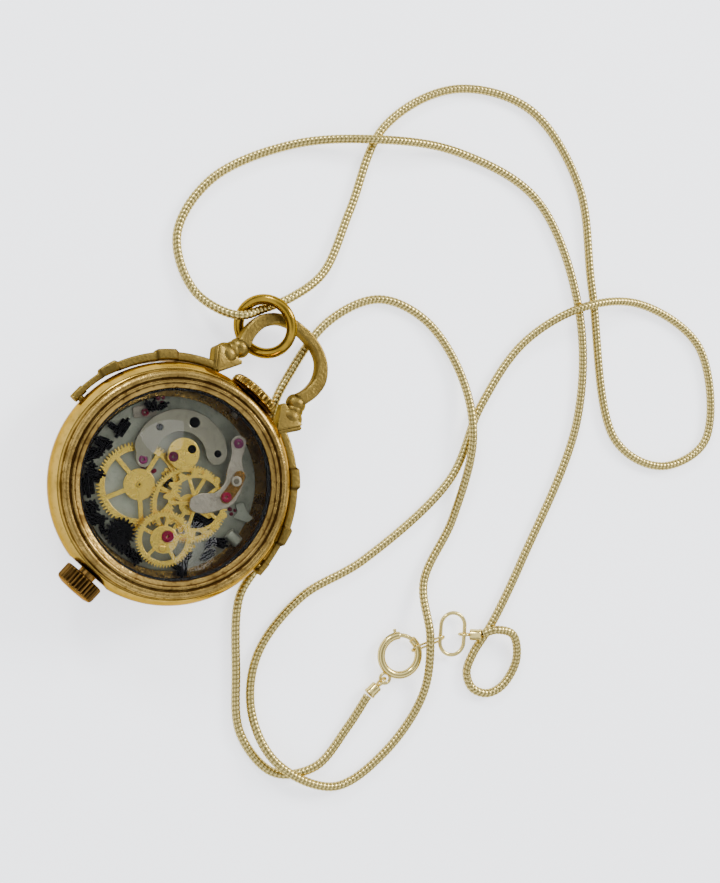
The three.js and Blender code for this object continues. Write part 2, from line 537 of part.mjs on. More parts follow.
/** The oval connector ring and the leaning link that ties it to the clasp. */
function buildConnector() {
  const { centre, halfLength, halfWidth, wire, heading } = CONNECTOR;
  const ring = ovalLink(halfLength, halfWidth, wire).rotateZ(THREE.MathUtils.degToRad(heading));
  add('connector_ring', ring, CHAIN_GOLD, { at: centre });
  const link = ovalLink(2.63, 0.92, 0.16, 12).rotateX(Math.PI / 3).rotateZ(THREE.MathUtils.degToRad(61.7));
  add('connector_link', link, CHAIN_GOLD, { at: [44.97, 9.42, 1.0] });
}

buildCase();
buildCrown('crown_top', TOP_CROWN, 1, CASE_GOLD);
buildCrown('crown_bottom', BOTTOM_CROWN, -1, COPPER_GOLD);
buildPlateAndBridge();
buildWheels();
buildCock();
buildLooseParts();
buildBail();
buildJumpRing();
buildChain();
buildClasp();
buildConnector();
endCap('chain_cap_a', [43.2, 0.6, 1.0], [0.08, 1, 0]);
endCap('chain_cap_b', [48.4, 14.2, 1.0], [-0.68, -0.6, -0.42]);

export default watch;
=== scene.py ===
"""A pendant pocket watch on a snake chain, dressed over its CAD frame.

Every surface is worked out in millimetres in the row frame (+X to 3 o'clock, +Y to the bail,
+Z out of the glass) and is put into Blender in metres.
"""

import logging  # noqa: E402
import math  # noqa: E402
from collections.abc import Sequence  # noqa: E402
from dataclasses import dataclass, field  # noqa: E402
from enum import Enum  # noqa: E402

import bmesh  # noqa: E402
import bpy  # noqa: E402
import numpy as np  # noqa: E402
from mathutils import Matrix  # noqa: E402


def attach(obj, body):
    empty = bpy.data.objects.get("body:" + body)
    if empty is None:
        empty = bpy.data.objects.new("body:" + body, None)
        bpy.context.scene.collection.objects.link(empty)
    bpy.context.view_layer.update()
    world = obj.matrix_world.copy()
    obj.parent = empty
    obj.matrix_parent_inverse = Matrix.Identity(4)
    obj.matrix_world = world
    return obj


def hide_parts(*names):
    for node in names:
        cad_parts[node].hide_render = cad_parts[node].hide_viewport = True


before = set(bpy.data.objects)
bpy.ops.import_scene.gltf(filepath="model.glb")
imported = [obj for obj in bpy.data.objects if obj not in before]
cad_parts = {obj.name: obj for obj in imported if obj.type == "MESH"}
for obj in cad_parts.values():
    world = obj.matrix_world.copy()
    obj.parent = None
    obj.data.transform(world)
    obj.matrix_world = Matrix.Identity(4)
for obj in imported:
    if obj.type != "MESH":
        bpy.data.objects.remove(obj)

log = logging.getLogger("pocket_watch")

MM = 0.001
TURN = 2 * math.pi
AXIS_Z = 5.5  # height of the stems and of the bail's pivots
BED = 5.05  # where the bonded parts stand
DROOP = 5.5  # degrees by which the bail hangs below level
CHAIN_RADIUS = 0.65

Colour = tuple[float, float, float]


class Side(Enum):
    """Which way a crown or a half of the bail faces."""

    PLUS = 1
    MINUS = -1


# ---------------------------------------------------------------- finishes


@dataclass(frozen=True)
class MetalFinish:
    """A metal whose hollows are darkened with painted shade and tarnish, and whose face carries grain and
    cloudy wear.

    Args:
        name: the material's name.
        slot: the record's material slot; not used.
        base: colour of the clean metal.
        stain_and_shade: colour of the tarnish, and of the painted shade in the hollows.
        cloud: how much tarnish lies over the open faces, 0 to 1.
        rough: roughness of the clean metal.
        spread: how far wear changes the roughness.
        grain: strength of the fine grain in the surface.
        grain_scale: grains per metre.
        groove: how dark the painted shade and tarnish in the hollows are, 0 to 1.
    """

    name: str
    slot: str
    base: Colour
    stain_and_shade: Colour
    cloud: float = 0.2
    rough: float = 0.3
    spread: float = 0.15
    grain: float = 0.1
    grain_scale: float = 4000.0
    groove: float = 0.9

    def material(self) -> bpy.types.Material:
        """Makes the material, or finds it where it is already made.

        Returns:
            The material.
        """
        made = bpy.data.materials.get(self.name)
        if made:
            return made
        made, nodes, links = blank_material(self.name)
        shader = nodes["Principled BSDF"]
        wear_shade = nodes.new("ShaderNodeGroup")
        wear_shade.node_tree = wear_and_hollow_shade_group()
        for key, value in (
            ("Clean", (*self.base, 1)), ("Tarnish and Shade", (*self.stain_and_shade, 1)), ("Cloud", self.cloud),
            ("Groove", self.groove), ("Rough", self.rough), ("Spread", self.spread),
            ("Grain Scale", self.grain_scale),
        ):
            wear_shade.inputs[key].default_value = value
        bump = nodes.new("ShaderNodeBump")
        bump.inputs["Strength"].default_value = self.grain
        bump.inputs["Distance"].default_value = 0.00006
        shader.inputs["Metallic"].default_value = 1.0
        edge = (0.3 + 0.6 * part / max(self.base) for part in self.base)
        shader.inputs["Specular Tint"].default_value = (*edge, 1)
        links.new(wear_shade.outputs["Colour"], shader.inputs["Base Color"])
        links.new(wear_shade.outputs["Roughness"], shader.inputs["Roughness"])
        links.new(wear_shade.outputs["Grain"], bump.inputs["Height"])
        links.new(bump.outputs["Normal"], shader.inputs["Normal"])
        return made


@dataclass(frozen=True)
class JewelFinish:
    """A polished stone: a deep colour under a clear face.

    Args:
        name: the material's name.
        slot: the record's material slot; not used.
        base: colour of the stone.
    """

    name: str
    slot: str
    base: Colour

    def material(self) -> bpy.types.Material:
        """Makes the material, or finds it where it is already made.

        Returns:
            The material.
        """
        made = bpy.data.materials.get(self.name)
        if made:
            return made
        made, nodes, links = blank_material(self.name)
        shader = nodes["Principled BSDF"]
        place = nodes.new("ShaderNodeTexCoord")
        noise = nodes.new("ShaderNodeTexNoise")
        noise.inputs["Scale"].default_value = 900.0
        mix = nodes.new("ShaderNodeMix")
        mix.data_type = "RGBA"
        mix.inputs[6].default_value = (*self.base, 1)
        mix.inputs[7].default_value = (*(c * 0.45 for c in self.base), 1)
        links.new(place.outputs["Object"], noise.inputs["Vector"])
        links.new(noise.outputs["Fac"], mix.inputs["Factor"])
        links.new(mix.outputs[2], shader.inputs["Base Color"])
        shader.inputs["Roughness"].default_value = 0.2
        shader.inputs["Specular IOR Level"].default_value = 0.3
        return made


@dataclass(frozen=True)
class CrystalFinish:
    """Clear glass with a faint haze of wipe marks. Light reaches the parts below it.

    Args:
        name: the material's name.
        slot: the record's material slot; not used.
    """

    name: str
    slot: str

    def material(self) -> bpy.types.Material:
        """Makes the material.

        Returns:
            The material.
        """
        made, nodes, links = blank_material(self.name)
        shader = nodes["Principled BSDF"]
        shader.inputs["Transmission Weight"].default_value = 1.0
        shader.inputs["IOR"].default_value = 1.2
        place = nodes.new("ShaderNodeTexCoord")
        noise = nodes.new("ShaderNodeTexNoise")
        noise.inputs["Scale"].default_value = 260.0
        spread = nodes.new("ShaderNodeMapRange")
        spread.inputs["To Min"].default_value = 0.0
        spread.inputs["To Max"].default_value = 0.006
        clear = nodes.new("ShaderNodeBsdfTransparent")
        rays = nodes.new("ShaderNodeLightPath")
        choose = nodes.new("ShaderNodeMixShader")
        links.new(place.outputs["Object"], noise.inputs["Vector"])
        links.new(noise.outputs["Fac"], spread.inputs["Value"])
        links.new(spread.outputs["Result"], shader.inputs["Roughness"])
        links.new(rays.outputs["Is Shadow Ray"], choose.inputs["Fac"])
        links.new(shader.outputs["BSDF"], choose.inputs[1])
        links.new(clear.outputs["BSDF"], choose.inputs[2])
        links.new(choose.outputs["Shader"], nodes["Material Output"].inputs["Surface"])
        return made


Finish = MetalFinish | JewelFinish | CrystalFinish


def blank_material(name: str) -> tuple[bpy.types.Material, bpy.types.Nodes, bpy.types.NodeLinks]:
    """A new material that is ready for its nodes.

    Args:
        name: the material's name.

    Returns:
        The material, its nodes and their links.
    """
    made = bpy.data.materials.new(name)
    made.use_nodes = True
    return made, made.node_tree.nodes, made.node_tree.links


def wear_and_hollow_shade_group() -> bpy.types.NodeTree:
    """The shared wear and painted shade: tarnish in soft clouds, painted shade with tarnish in the hollows,
    and a fine grain.

    Returns:
        The node group, with outputs Colour, Roughness and Grain.
    """
    made = bpy.data.node_groups.get("Wear and Hollow Shade")
    if made:
        return made
    made = bpy.data.node_groups.new("Wear and Hollow Shade", "ShaderNodeTree")
    face = made.interface
    for name, kind in (
        ("Clean", "NodeSocketColor"), ("Tarnish and Shade", "NodeSocketColor"), ("Cloud", "NodeSocketFloat"),
        ("Groove", "NodeSocketFloat"), ("Rough", "NodeSocketFloat"), ("Spread", "NodeSocketFloat"),
        ("Grain Scale", "NodeSocketFloat"),
    ):
        face.new_socket(name, in_out="INPUT", socket_type=kind)
    for name, kind in (
        ("Colour", "NodeSocketColor"), ("Roughness", "NodeSocketFloat"), ("Grain", "NodeSocketFloat"),
    ):
        face.new_socket(name, in_out="OUTPUT", socket_type=kind)
    nodes, links = made.nodes, made.links
    given, out = nodes.new("NodeGroupInput"), nodes.new("NodeGroupOutput")
    place = nodes.new("ShaderNodeTexCoord")

    def noise(scale: float | None, detail: float) -> bpy.types.Node:
        """A noise over the object's own coordinates.

        Args:
            scale: its scale, or None where a link gives it.
            detail: its detail.

        Returns:
            The noise node.
        """
        node = nodes.new("ShaderNodeTexNoise")
        node.inputs["Detail"].default_value = detail
        if scale:
            node.inputs["Scale"].default_value = scale
        links.new(place.outputs["Object"], node.inputs["Vector"])
        return node

    def maths(kind: str, *values: bpy.types.NodeSocket | float) -> bpy.types.NodeSocket:
        """A maths node, clamped where it adds.

        Args:
            kind: the operation.
            values: a socket or a number for each input.

        Returns:
            Its output.
        """
        node = nodes.new("ShaderNodeMath")
        node.operation = kind
        node.use_clamp = kind == "ADD"
        for index, value in enumerate(values):
            if isinstance(value, bpy.types.NodeSocket):
                links.new(value, node.inputs[index])
            else:
                node.inputs[index].default_value = value
        return node.outputs[0]

    clouds, specks, grain = noise(420.0, 6.0), noise(1500.0, 3.0), noise(None, 2.0)
    links.new(given.outputs["Grain Scale"], grain.inputs["Scale"])
    hollow = nodes.new("ShaderNodeAttribute")
    hollow.attribute_name = "hollow"
    patch = nodes.new("ShaderNodeMapRange")
    patch.inputs["From Min"].default_value, patch.inputs["From Max"].default_value = 0.42, 0.72
    links.new(clouds.outputs["Fac"], patch.inputs["Value"])
    speck = maths("MULTIPLY", maths("GREATER_THAN", specks.outputs["Fac"], 0.6), 0.5)
    blotch = maths("ADD", patch.outputs["Result"], speck)
    open_face = maths("MULTIPLY", blotch, given.outputs["Cloud"])
    # painted shade: the hollow attribute darkens hollows, recesses, inner walls and undersides towards the
    # tarnish colour, as shade together with tarnish
    deep = maths("MULTIPLY", hollow.outputs["Fac"], given.outputs["Groove"])
    tarnish_and_shade = maths("ADD", open_face, deep)
    mix = nodes.new("ShaderNodeMix")
    mix.data_type = "RGBA"
    links.new(tarnish_and_shade, mix.inputs["Factor"])
    links.new(given.outputs["Clean"], mix.inputs[6])
    links.new(given.outputs["Tarnish and Shade"], mix.inputs[7])
    links.new(mix.outputs[2], out.inputs["Colour"])
    worn = maths("MULTIPLY", given.outputs["Spread"], maths("SUBTRACT", clouds.outputs["Fac"], 0.5))
    dull = maths("MULTIPLY", tarnish_and_shade, 0.25)
    links.new(maths("ADD", maths("ADD", given.outputs["Rough"], worn), dull), out.inputs["Roughness"])
    links.new(grain.outputs["Fac"], out.inputs["Grain"])
    return made


CASE_GOLD = MetalFinish(
    "polished case gold", "case_gold", (0.42, 0.27, 0.055), (0.05, 0.024, 0.004),
    cloud=0.35, rough=0.12, grain=0.05,
)
BEZEL_GOLD = MetalFinish(
    "worn bezel gold", "bezel_gold", (0.38, 0.25, 0.07), (0.045, 0.02, 0.004), cloud=0.6, rough=0.22,
    spread=0.35, grain=0.8, grain_scale=2800.0,
)
SATIN_BRASS = MetalFinish(
    "cast satin brass", "satin_brass", (0.22, 0.15, 0.036), (0.04, 0.022, 0.005), cloud=0.45, rough=0.34,
    grain=1.0, grain_scale=2600.0,
)
RING_BRASS = MetalFinish(
    "polished ring brass", "ring_brass", (0.34, 0.21, 0.024), (0.03, 0.013, 0.002),
    cloud=0.3, rough=0.14, grain=0.06,
)
CHAIN_GOLD = MetalFinish(
    "pale chain gold", "chain_gold", (0.7, 0.56, 0.2), (0.05, 0.03, 0.004), cloud=0.05, rough=0.16, grain=0.0,
)
COPPER_GOLD = MetalFinish(
    "aged copper gold", "copper_gold", (0.22, 0.12, 0.03), (0.012, 0.005, 0.001), cloud=0.35, rough=0.22,
)
PALE_BRASS = MetalFinish(
    "gilt watch brass", "pale_brass", (0.84, 0.6, 0.11), (0.36, 0.2, 0.025),
    cloud=0.15, rough=0.24, grain=0.1,
)
BRIGHT_STEEL = MetalFinish(
    "speckled steel", "bright_steel", (0.3, 0.275, 0.21), (0.1, 0.09, 0.065), cloud=0.5, rough=0.4,
    grain=0.9, grain_scale=2600.0,
)
KHAKI_STEEL = MetalFinish(
    "khaki plate steel", "khaki_steel", (0.24, 0.23, 0.165), (0.09, 0.085, 0.06),
    cloud=0.3, rough=0.34, grain=0.12,
)
NICKEL = MetalFinish(
    "grey nickel plate", "nickel", (0.3, 0.315, 0.24), (0.11, 0.11, 0.08), cloud=0.3, rough=0.5, grain=0.12,
)
BLACK_STEEL = MetalFinish(
    "blackened steel", "black_steel", (0.004, 0.004, 0.0045), (0.001, 0.001, 0.001), cloud=0.3, rough=0.3,
)
SEAL = MetalFinish("gasket rubber", "seal", (0.02, 0.02, 0.02), (0.01, 0.01, 0.01), rough=0.7)
RUBY = JewelFinish("deep ruby", "ruby", (0.13, 0.0, 0.015))
PLUM = JewelFinish("plum jewel", "ruby", (0.1, 0.008, 0.045))
DARK_JEWEL = JewelFinish("dark jewel", "ruby", (0.06, 0.004, 0.02))
CRYSTAL = CrystalFinish("clear crystal", "glass")


# ---------------------------------------------------------------- surfaces


def unit(vectors: np.ndarray) -> np.ndarray:
    """Vectors scaled to length one along their last axis."""
    return vectors / np.linalg.norm(vectors, axis=-1, keepdims=True)


def smoothstep(low: float, high: float, values: np.ndarray) -> np.ndarray:
    """Nought below low, one above high, and a soft rise 3t^2 - 2t^3 between."""
    t = np.clip((values - low) / (high - low), 0, 1)
    return t * t * (3 - 2 * t)


def filleted(
    corners: Sequence[Sequence[float]], radius: float, steps: int = 3, closed: bool = True,
) -> np.ndarray:
    """A profile with its corners rounded.

    Each corner is replaced by the quadratic (1-t)^2 A + 2t(1-t) P + t^2 B, where P is the corner
    and A and B lie on its two sides, a radius away or 45% along where a side is short.

    Args:
        corners: (n, 2) corner points.
        radius: how far from the corner its rounding starts.
        steps: points added to each rounding.
        closed: whether the profile closes on itself.

    Returns:
        The (m, 2) rounded profile.
    """
    p = np.asarray(corners, float)
    before, after = np.roll(p, 1, 0) - p, np.roll(p, -1, 0) - p
    reach = [np.minimum(radius, 0.45 * np.linalg.norm(v, axis=1))[:, None] for v in (before, after)]
    a, b = p + unit(before) * reach[0], p + unit(after) * reach[1]
    t = np.linspace(0, 1, steps + 1)[None, :, None]
    arcs = (1 - t) ** 2 * a[:, None] + 2 * t * (1 - t) * p[:, None] + t**2 * b[:, None]
    if closed:
        return arcs.reshape(-1, 2)
    return np.vstack([p[:1], arcs[1:-1].reshape(-1, 2), p[-1:]])


def grid_faces(rows: int, columns: int, around: bool, along: bool) -> np.ndarray:
    """The quads of a grid of points.

    Args:
        rows: how many rows of points.
        columns: how many points in a row.
        around: whether the columns close on themselves.
        along: whether the rows close on themselves.

    Returns:
        The (n, 4) indices of the quads' corners.
    """
    u = np.arange(rows if along else rows - 1)
    v = np.arange(columns if around else columns - 1)
    u, v = np.meshgrid(u, v, indexing="ij")
    u2, v2 = (u + 1) % rows, (v + 1) % columns
    quads = [u * columns + v, u2 * columns + v, u2 * columns + v2, u * columns + v2]
    return np.stack(quads, -1).reshape(-1, 4)


@dataclass
class Shell:
    """Surfaces gathered into one mesh.

    Args:
        points: each surface's points, in millimetres.
        faces: the faces, as indices into all the points.
        hollows: how hollow each surface's points are, 0 to 1.
    """

    points: list[np.ndarray] = field(default_factory=list)
    faces: list[tuple[int, ...]] = field(default_factory=list)
    hollows: list[np.ndarray] = field(default_factory=list)

    def add(
        self,
        grid: np.ndarray,
        hollow: np.ndarray | float = 0.0,
        around: bool = True,
        along: bool = False,
        caps: bool = True,
    ) -> "Shell":
        """Adds a grid of points as a surface.

        Args:
            grid: (rows, columns, 3) points.
            hollow: how hollow each point is, 0 to 1, as a number or one value a point.
            around: whether the columns close on themselves.
            along: whether the rows close on themselves.
            caps: whether the first and last rows are filled.

        Returns:
            The shell itself.
        """
        rows, columns = grid.shape[:2]
        start = sum(len(p) for p in self.points)
        self.points.append(grid.reshape(-1, 3))
        self.hollows.append(np.broadcast_to(hollow, (rows, columns)).reshape(-1))
        self.faces.extend(map(tuple, (grid_faces(rows, columns, around, along) + start).tolist()))
        if caps and around and not along:
            self.faces.append(tuple(range(start + columns - 1, start - 1, -1)))
            last = start + (rows - 1) * columns
            self.faces.append(tuple(range(last, last + columns)))
        return self

    def gather(self, points: np.ndarray, faces: Sequence[tuple[int, ...]]) -> "Shell":
        """Adds a surface that is not a grid and has no hollows.

        Args:
            points: its (n, 3) points.
            faces: its faces, as indices into those points.

        Returns:
            The shell itself.
        """
        start = sum(len(p) for p in self.points)
        self.points.append(points)
        self.faces.extend(tuple(i + start for i in face) for face in faces)
        self.hollows.append(np.zeros(len(points)))
        return self

    def piece(
        self, name: str, body: str, finish: Finish, nodes: Sequence[str] = (), sharp: float = 38,
    ) -> bpy.types.Object:
        """Makes the shell a named piece that rides on a body.

        Args:
            name: the piece's name.
            body: the CAD body it moves with.
            finish: what it is made of.
            nodes: the CAD nodes it stands for.
            sharp: edges that turn by more than this many degrees stay crisp.

        Returns:
            The object.
        """
        mesh = bpy.data.meshes.new(name)
        mesh.from_pydata(np.vstack(self.points) * MM, [], self.faces)
        mark = mesh.attributes.new("hollow", "FLOAT", "POINT")
        mark.data.foreach_set("value", np.concatenate(self.hollows).astype(np.float32))
        mesh.validate()
        faces = bmesh.new()
        faces.from_mesh(mesh)
        bmesh.ops.recalc_face_normals(faces, faces=faces.faces)
        faces.to_mesh(mesh)
        faces.free()
        mesh.polygons.foreach_set("use_smooth", np.ones(len(mesh.polygons), bool))
        mesh.update()
        mesh.set_sharp_from_angle(angle=math.radians(sharp))
        return placed(bpy.data.objects.new(name, mesh), body, finish, nodes)


def placed(made: bpy.types.Object, body: str, finish: Finish, nodes: Sequence[str]) -> bpy.types.Object:
    """Links a piece, gives it its finish, and ties it to its body and its nodes.

    Args:
        made: the piece.
        body: the CAD body it moves with.
        finish: what it is made of.
        nodes: the CAD nodes it stands for.

    Returns:
        The piece.
    """
    bpy.context.scene.collection.objects.link(made)
    made.data.materials.clear()
    made.data.materials.append(finish.material())
    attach(made, body)
    if nodes:
        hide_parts(*nodes)
    return made


def revolved(profile: np.ndarray, angles: np.ndarray) -> np.ndarray:
    """A surface of revolution about Z: (r cos a, r sin a, z) for each angle a and profile point.

    Args:
        profile: (n, 2) points (r, z).
        angles: the angles of the rows, in radians.

    Returns:
        The (angles, n, 3) grid.
    """
    r, z = profile[:, 0], profile[:, 1]
    c, s = np.cos(angles)[:, None], np.sin(angles)[:, None]
    return np.stack([c * r, s * r, np.broadcast_to(z, (len(angles), len(z)))], -1)


def turned(
    profile: np.ndarray, hollow: np.ndarray | float = 0.0, steps: int = 160, closed: bool = True,
) -> Shell:
    """A turned piece about Z from an (r, z) profile, which closes on itself or runs axis to axis."""
    angles = np.linspace(0, TURN, steps, endpoint=False)
    return Shell().add(revolved(profile, angles), hollow, around=closed, along=True, caps=False)


def spline(points: Sequence[Sequence[float]], steps: int) -> np.ndarray:
    """A centripetal Catmull-Rom curve through points.

    The tangents come from the square roots of the spans, and each span is the cubic Hermite
    curve between its two points. The first and last points are mirrored to give the outer spans.

    Args:
        points: (n, 3) points.
        steps: samples in each span.

    Returns:
        The curve's (m, 3) points.
    """
    p = np.asarray(points, float)
    p = np.vstack([2 * p[0] - p[1], p, 2 * p[-1] - p[-2]])
    p0, p1, p2, p3 = p[:-3], p[1:-2], p[2:-1], p[3:]
    spans = ((p0, p1), (p1, p2), (p2, p3))
    d0, d1, d2 = (np.sqrt(np.linalg.norm(b - a, axis=1))[:, None] for a, b in spans)
    m1 = ((p1 - p0) / d0 - (p2 - p0) / (d0 + d1) + (p2 - p1) / d1) * d1
    m2 = ((p2 - p1) / d1 - (p3 - p1) / (d1 + d2) + (p3 - p2) / d2) * d1
    t = np.linspace(0, 1, steps, endpoint=False)[None, :, None]
    a, b, c, d = (v[:, None] for v in (p1, p2, m1, m2))
    ends = (2 * t**3 - 3 * t**2 + 1) * a + (3 * t**2 - 2 * t**3) * b
    curve = ends + (t**3 - 2 * t**2 + t) * c + (t**3 - t**2) * d
    return np.vstack([curve.reshape(-1, 3), p2[-1:]])


def evenly(path: np.ndarray, count: int) -> tuple[np.ndarray, np.ndarray]:
    """A path sampled at even distances.

    Args:
        path: (n, 3) points.
        count: how many samples.

    Returns:
        The (count, 3) samples and the distance of each along the path.
    """
    along = np.concatenate([[0], np.cumsum(np.linalg.norm(np.diff(path, axis=0), axis=1))])
    s = np.linspace(0, along[-1], count)
    return np.stack([np.interp(s, along, path[:, k]) for k in range(3)], 1), s


def carried(path: np.ndarray, section: np.ndarray, closed: bool = False) -> np.ndarray:
    """A section carried along a path that never runs straight up.

    A point (a, b) of the section at path point P goes to P + a S + b U, where S is the path's
    tangent crossed with +Z, and U is S crossed with the tangent.

    Args:
        path: (m, 3) points.
        section: (k, 2) points, or (m, k, 2) where the section changes along the path.
        closed: whether the path closes on itself.

    Returns:
        The (m, k, 3) grid.
    """
    if closed:
        tangent = unit(np.roll(path, -1, 0) - np.roll(path, 1, 0))
    else:
        tangent = unit(np.gradient(path, axis=0))
    side = unit(np.cross(tangent, [0, 0, 1.0]))
    lift = np.cross(side, tangent)
    section = np.broadcast_to(section, (len(path), *section.shape[-2:]))
    return path[:, None] + section[..., :1] * side[:, None] + section[..., 1:] * lift[:, None]


def circle(radius: float, steps: int) -> np.ndarray:
    """Points round a circle."""
    a = np.linspace(0, TURN, steps, endpoint=False)
    return radius * np.stack([np.cos(a), np.sin(a)], 1)


def arc(radius: float, start: float, end: float, steps: int) -> np.ndarray:
    """Points along an arc in the plane z = 0, angles in degrees."""
    a = np.radians(np.linspace(start, end, steps))
    return np.stack([radius * np.cos(a), radius * np.sin(a), 0 * a], 1)


def turn_matrix(degrees: float, axis: str) -> np.ndarray:
    """A turn about X, Y or Z as a 3 by 3 matrix."""
    return np.array(Matrix.Rotation(math.radians(degrees), 3, axis))


def ellipsoid(centre: Sequence[float], radii: Sequence[float]) -> np.ndarray:
    """An ellipsoid's grid: (a sin u cos v, b sin u sin v, c cos u) about its centre.

    Args:
        centre: its centre.
        radii: the three half widths a, b and c.

    Returns:
        The grid, with its rows from the upper pole to the lower one.
    """
    pole = 0.02
    u = np.linspace(pole, math.pi - pole, 20)[:, None]
    v = np.linspace(0, TURN, 28, endpoint=False)[None]
    grid = np.stack([np.sin(u) * np.cos(v), np.sin(u) * np.sin(v), np.cos(u) + 0 * v], -1)
    return grid * np.asarray(radii, float) + np.asarray(centre, float)


def wire_loop(
    half_length: float, half_width: float, wire: float, steps: int = 64, sides: int = 14,
) -> np.ndarray:
    """A closed round-wire link in the plane z = 0, long along X: a half circle at each end.

    Args:
        half_length: half its length, to the middle of the wire.
        half_width: half its width, to the middle of the wire.
        wire: radius of the wire.
        steps: sections round the loop.
        sides: points round the wire.

    Returns:
        The (steps, sides, 3) grid.
    """
    a = np.linspace(0, TURN, steps, endpoint=False) + TURN / steps / 2
    path = np.stack([half_width * np.cos(a), half_width * np.sin(a), 0 * a], 1)
    path[:, 0] += np.sign(path[:, 0]) * (half_length - half_width)
    return carried(path, circle(wire, sides), closed=True)


def sheet_metal(
    outlines: Sequence[np.ndarray], low: float, high: float, bevel: float,
) -> tuple[np.ndarray, list[tuple[int, ...]]]:
    """A flat plate cut to outlines, with softened edges.

    The first outline is the edge and the rest are holes. The plate is the filled outline carried
    from the low face to the high one, and its edges are drawn in by a quarter round.

    Args:
        outlines: closed (n, 2) outlines.
        low: height of the lower face.
        high: height of the upper face.
        bevel: radius of the softened edges.

    Returns:
        The plate's points and faces.
    """
    curve = bpy.data.curves.new("outline", "CURVE")
    curve.dimensions, curve.fill_mode = "2D", "BOTH"
    curve.extrude, curve.bevel_depth = (high - low) / 2 - bevel, bevel
    curve.bevel_resolution, curve.offset = 1, -bevel
    for outline in outlines:
        line = curve.splines.new("POLY")
        line.points.add(len(outline) - 1)
        flat = np.column_stack([outline, np.zeros(len(outline)), np.ones(len(outline))])
        line.points.foreach_set("co", flat.ravel())
        line.use_cyclic_u = True
    thing = bpy.data.objects.new("outline", curve)
    mesh = bpy.data.meshes.new_from_object(thing)
    points = np.zeros(len(mesh.vertices) * 3)
    mesh.vertices.foreach_get("co", points)
    faces = [tuple(p.vertices) for p in mesh.polygons]
    bpy.data.objects.remove(thing)
    bpy.data.curves.remove(curve)
    bpy.data.meshes.remove(mesh)
    return points.reshape(-1, 3) + [0, 0, (low + high) / 2], faces


def plate(
    outlines: Sequence[np.ndarray],
    low: float,
    high: float,
    at: Sequence[float] = (0, 0),
    bevel: float = 0.04,
) -> Shell:
    """A sheet-metal plate as a shell, moved to its place."""
    points, faces = sheet_metal(outlines, low, high, bevel)
    return Shell().gather(points + [*at, 0], faces)


def rod(
    x: float, y: float, radius: float, low: float, high: float, soft: float = 0.06, steps: int = 40,
) -> np.ndarray:
    """A pin or disc along Z with a softened rim.

    Args:
        x: where its axis is.
        y: where its axis is.
        radius: its radius.
        low: height of its lower face.
        high: height of its upper face.
        soft: how far its rims are rounded.
        steps: points round it.

    Returns:
        A grid of points from the middle of its lower face to the middle of its upper one.
    """
    middle = 1e-3
    corners = [(middle, low), (radius, low), (radius, high), (middle, high)]
    r, z = filleted(corners, soft, closed=False).T
    a = np.linspace(0, TURN, steps, endpoint=False)
    grid = [x + r[:, None] * np.cos(a), y + r[:, None] * np.sin(a), z[:, None] + 0 * a]
    return np.stack(grid, -1)


# ---------------------------------------------------------------- case


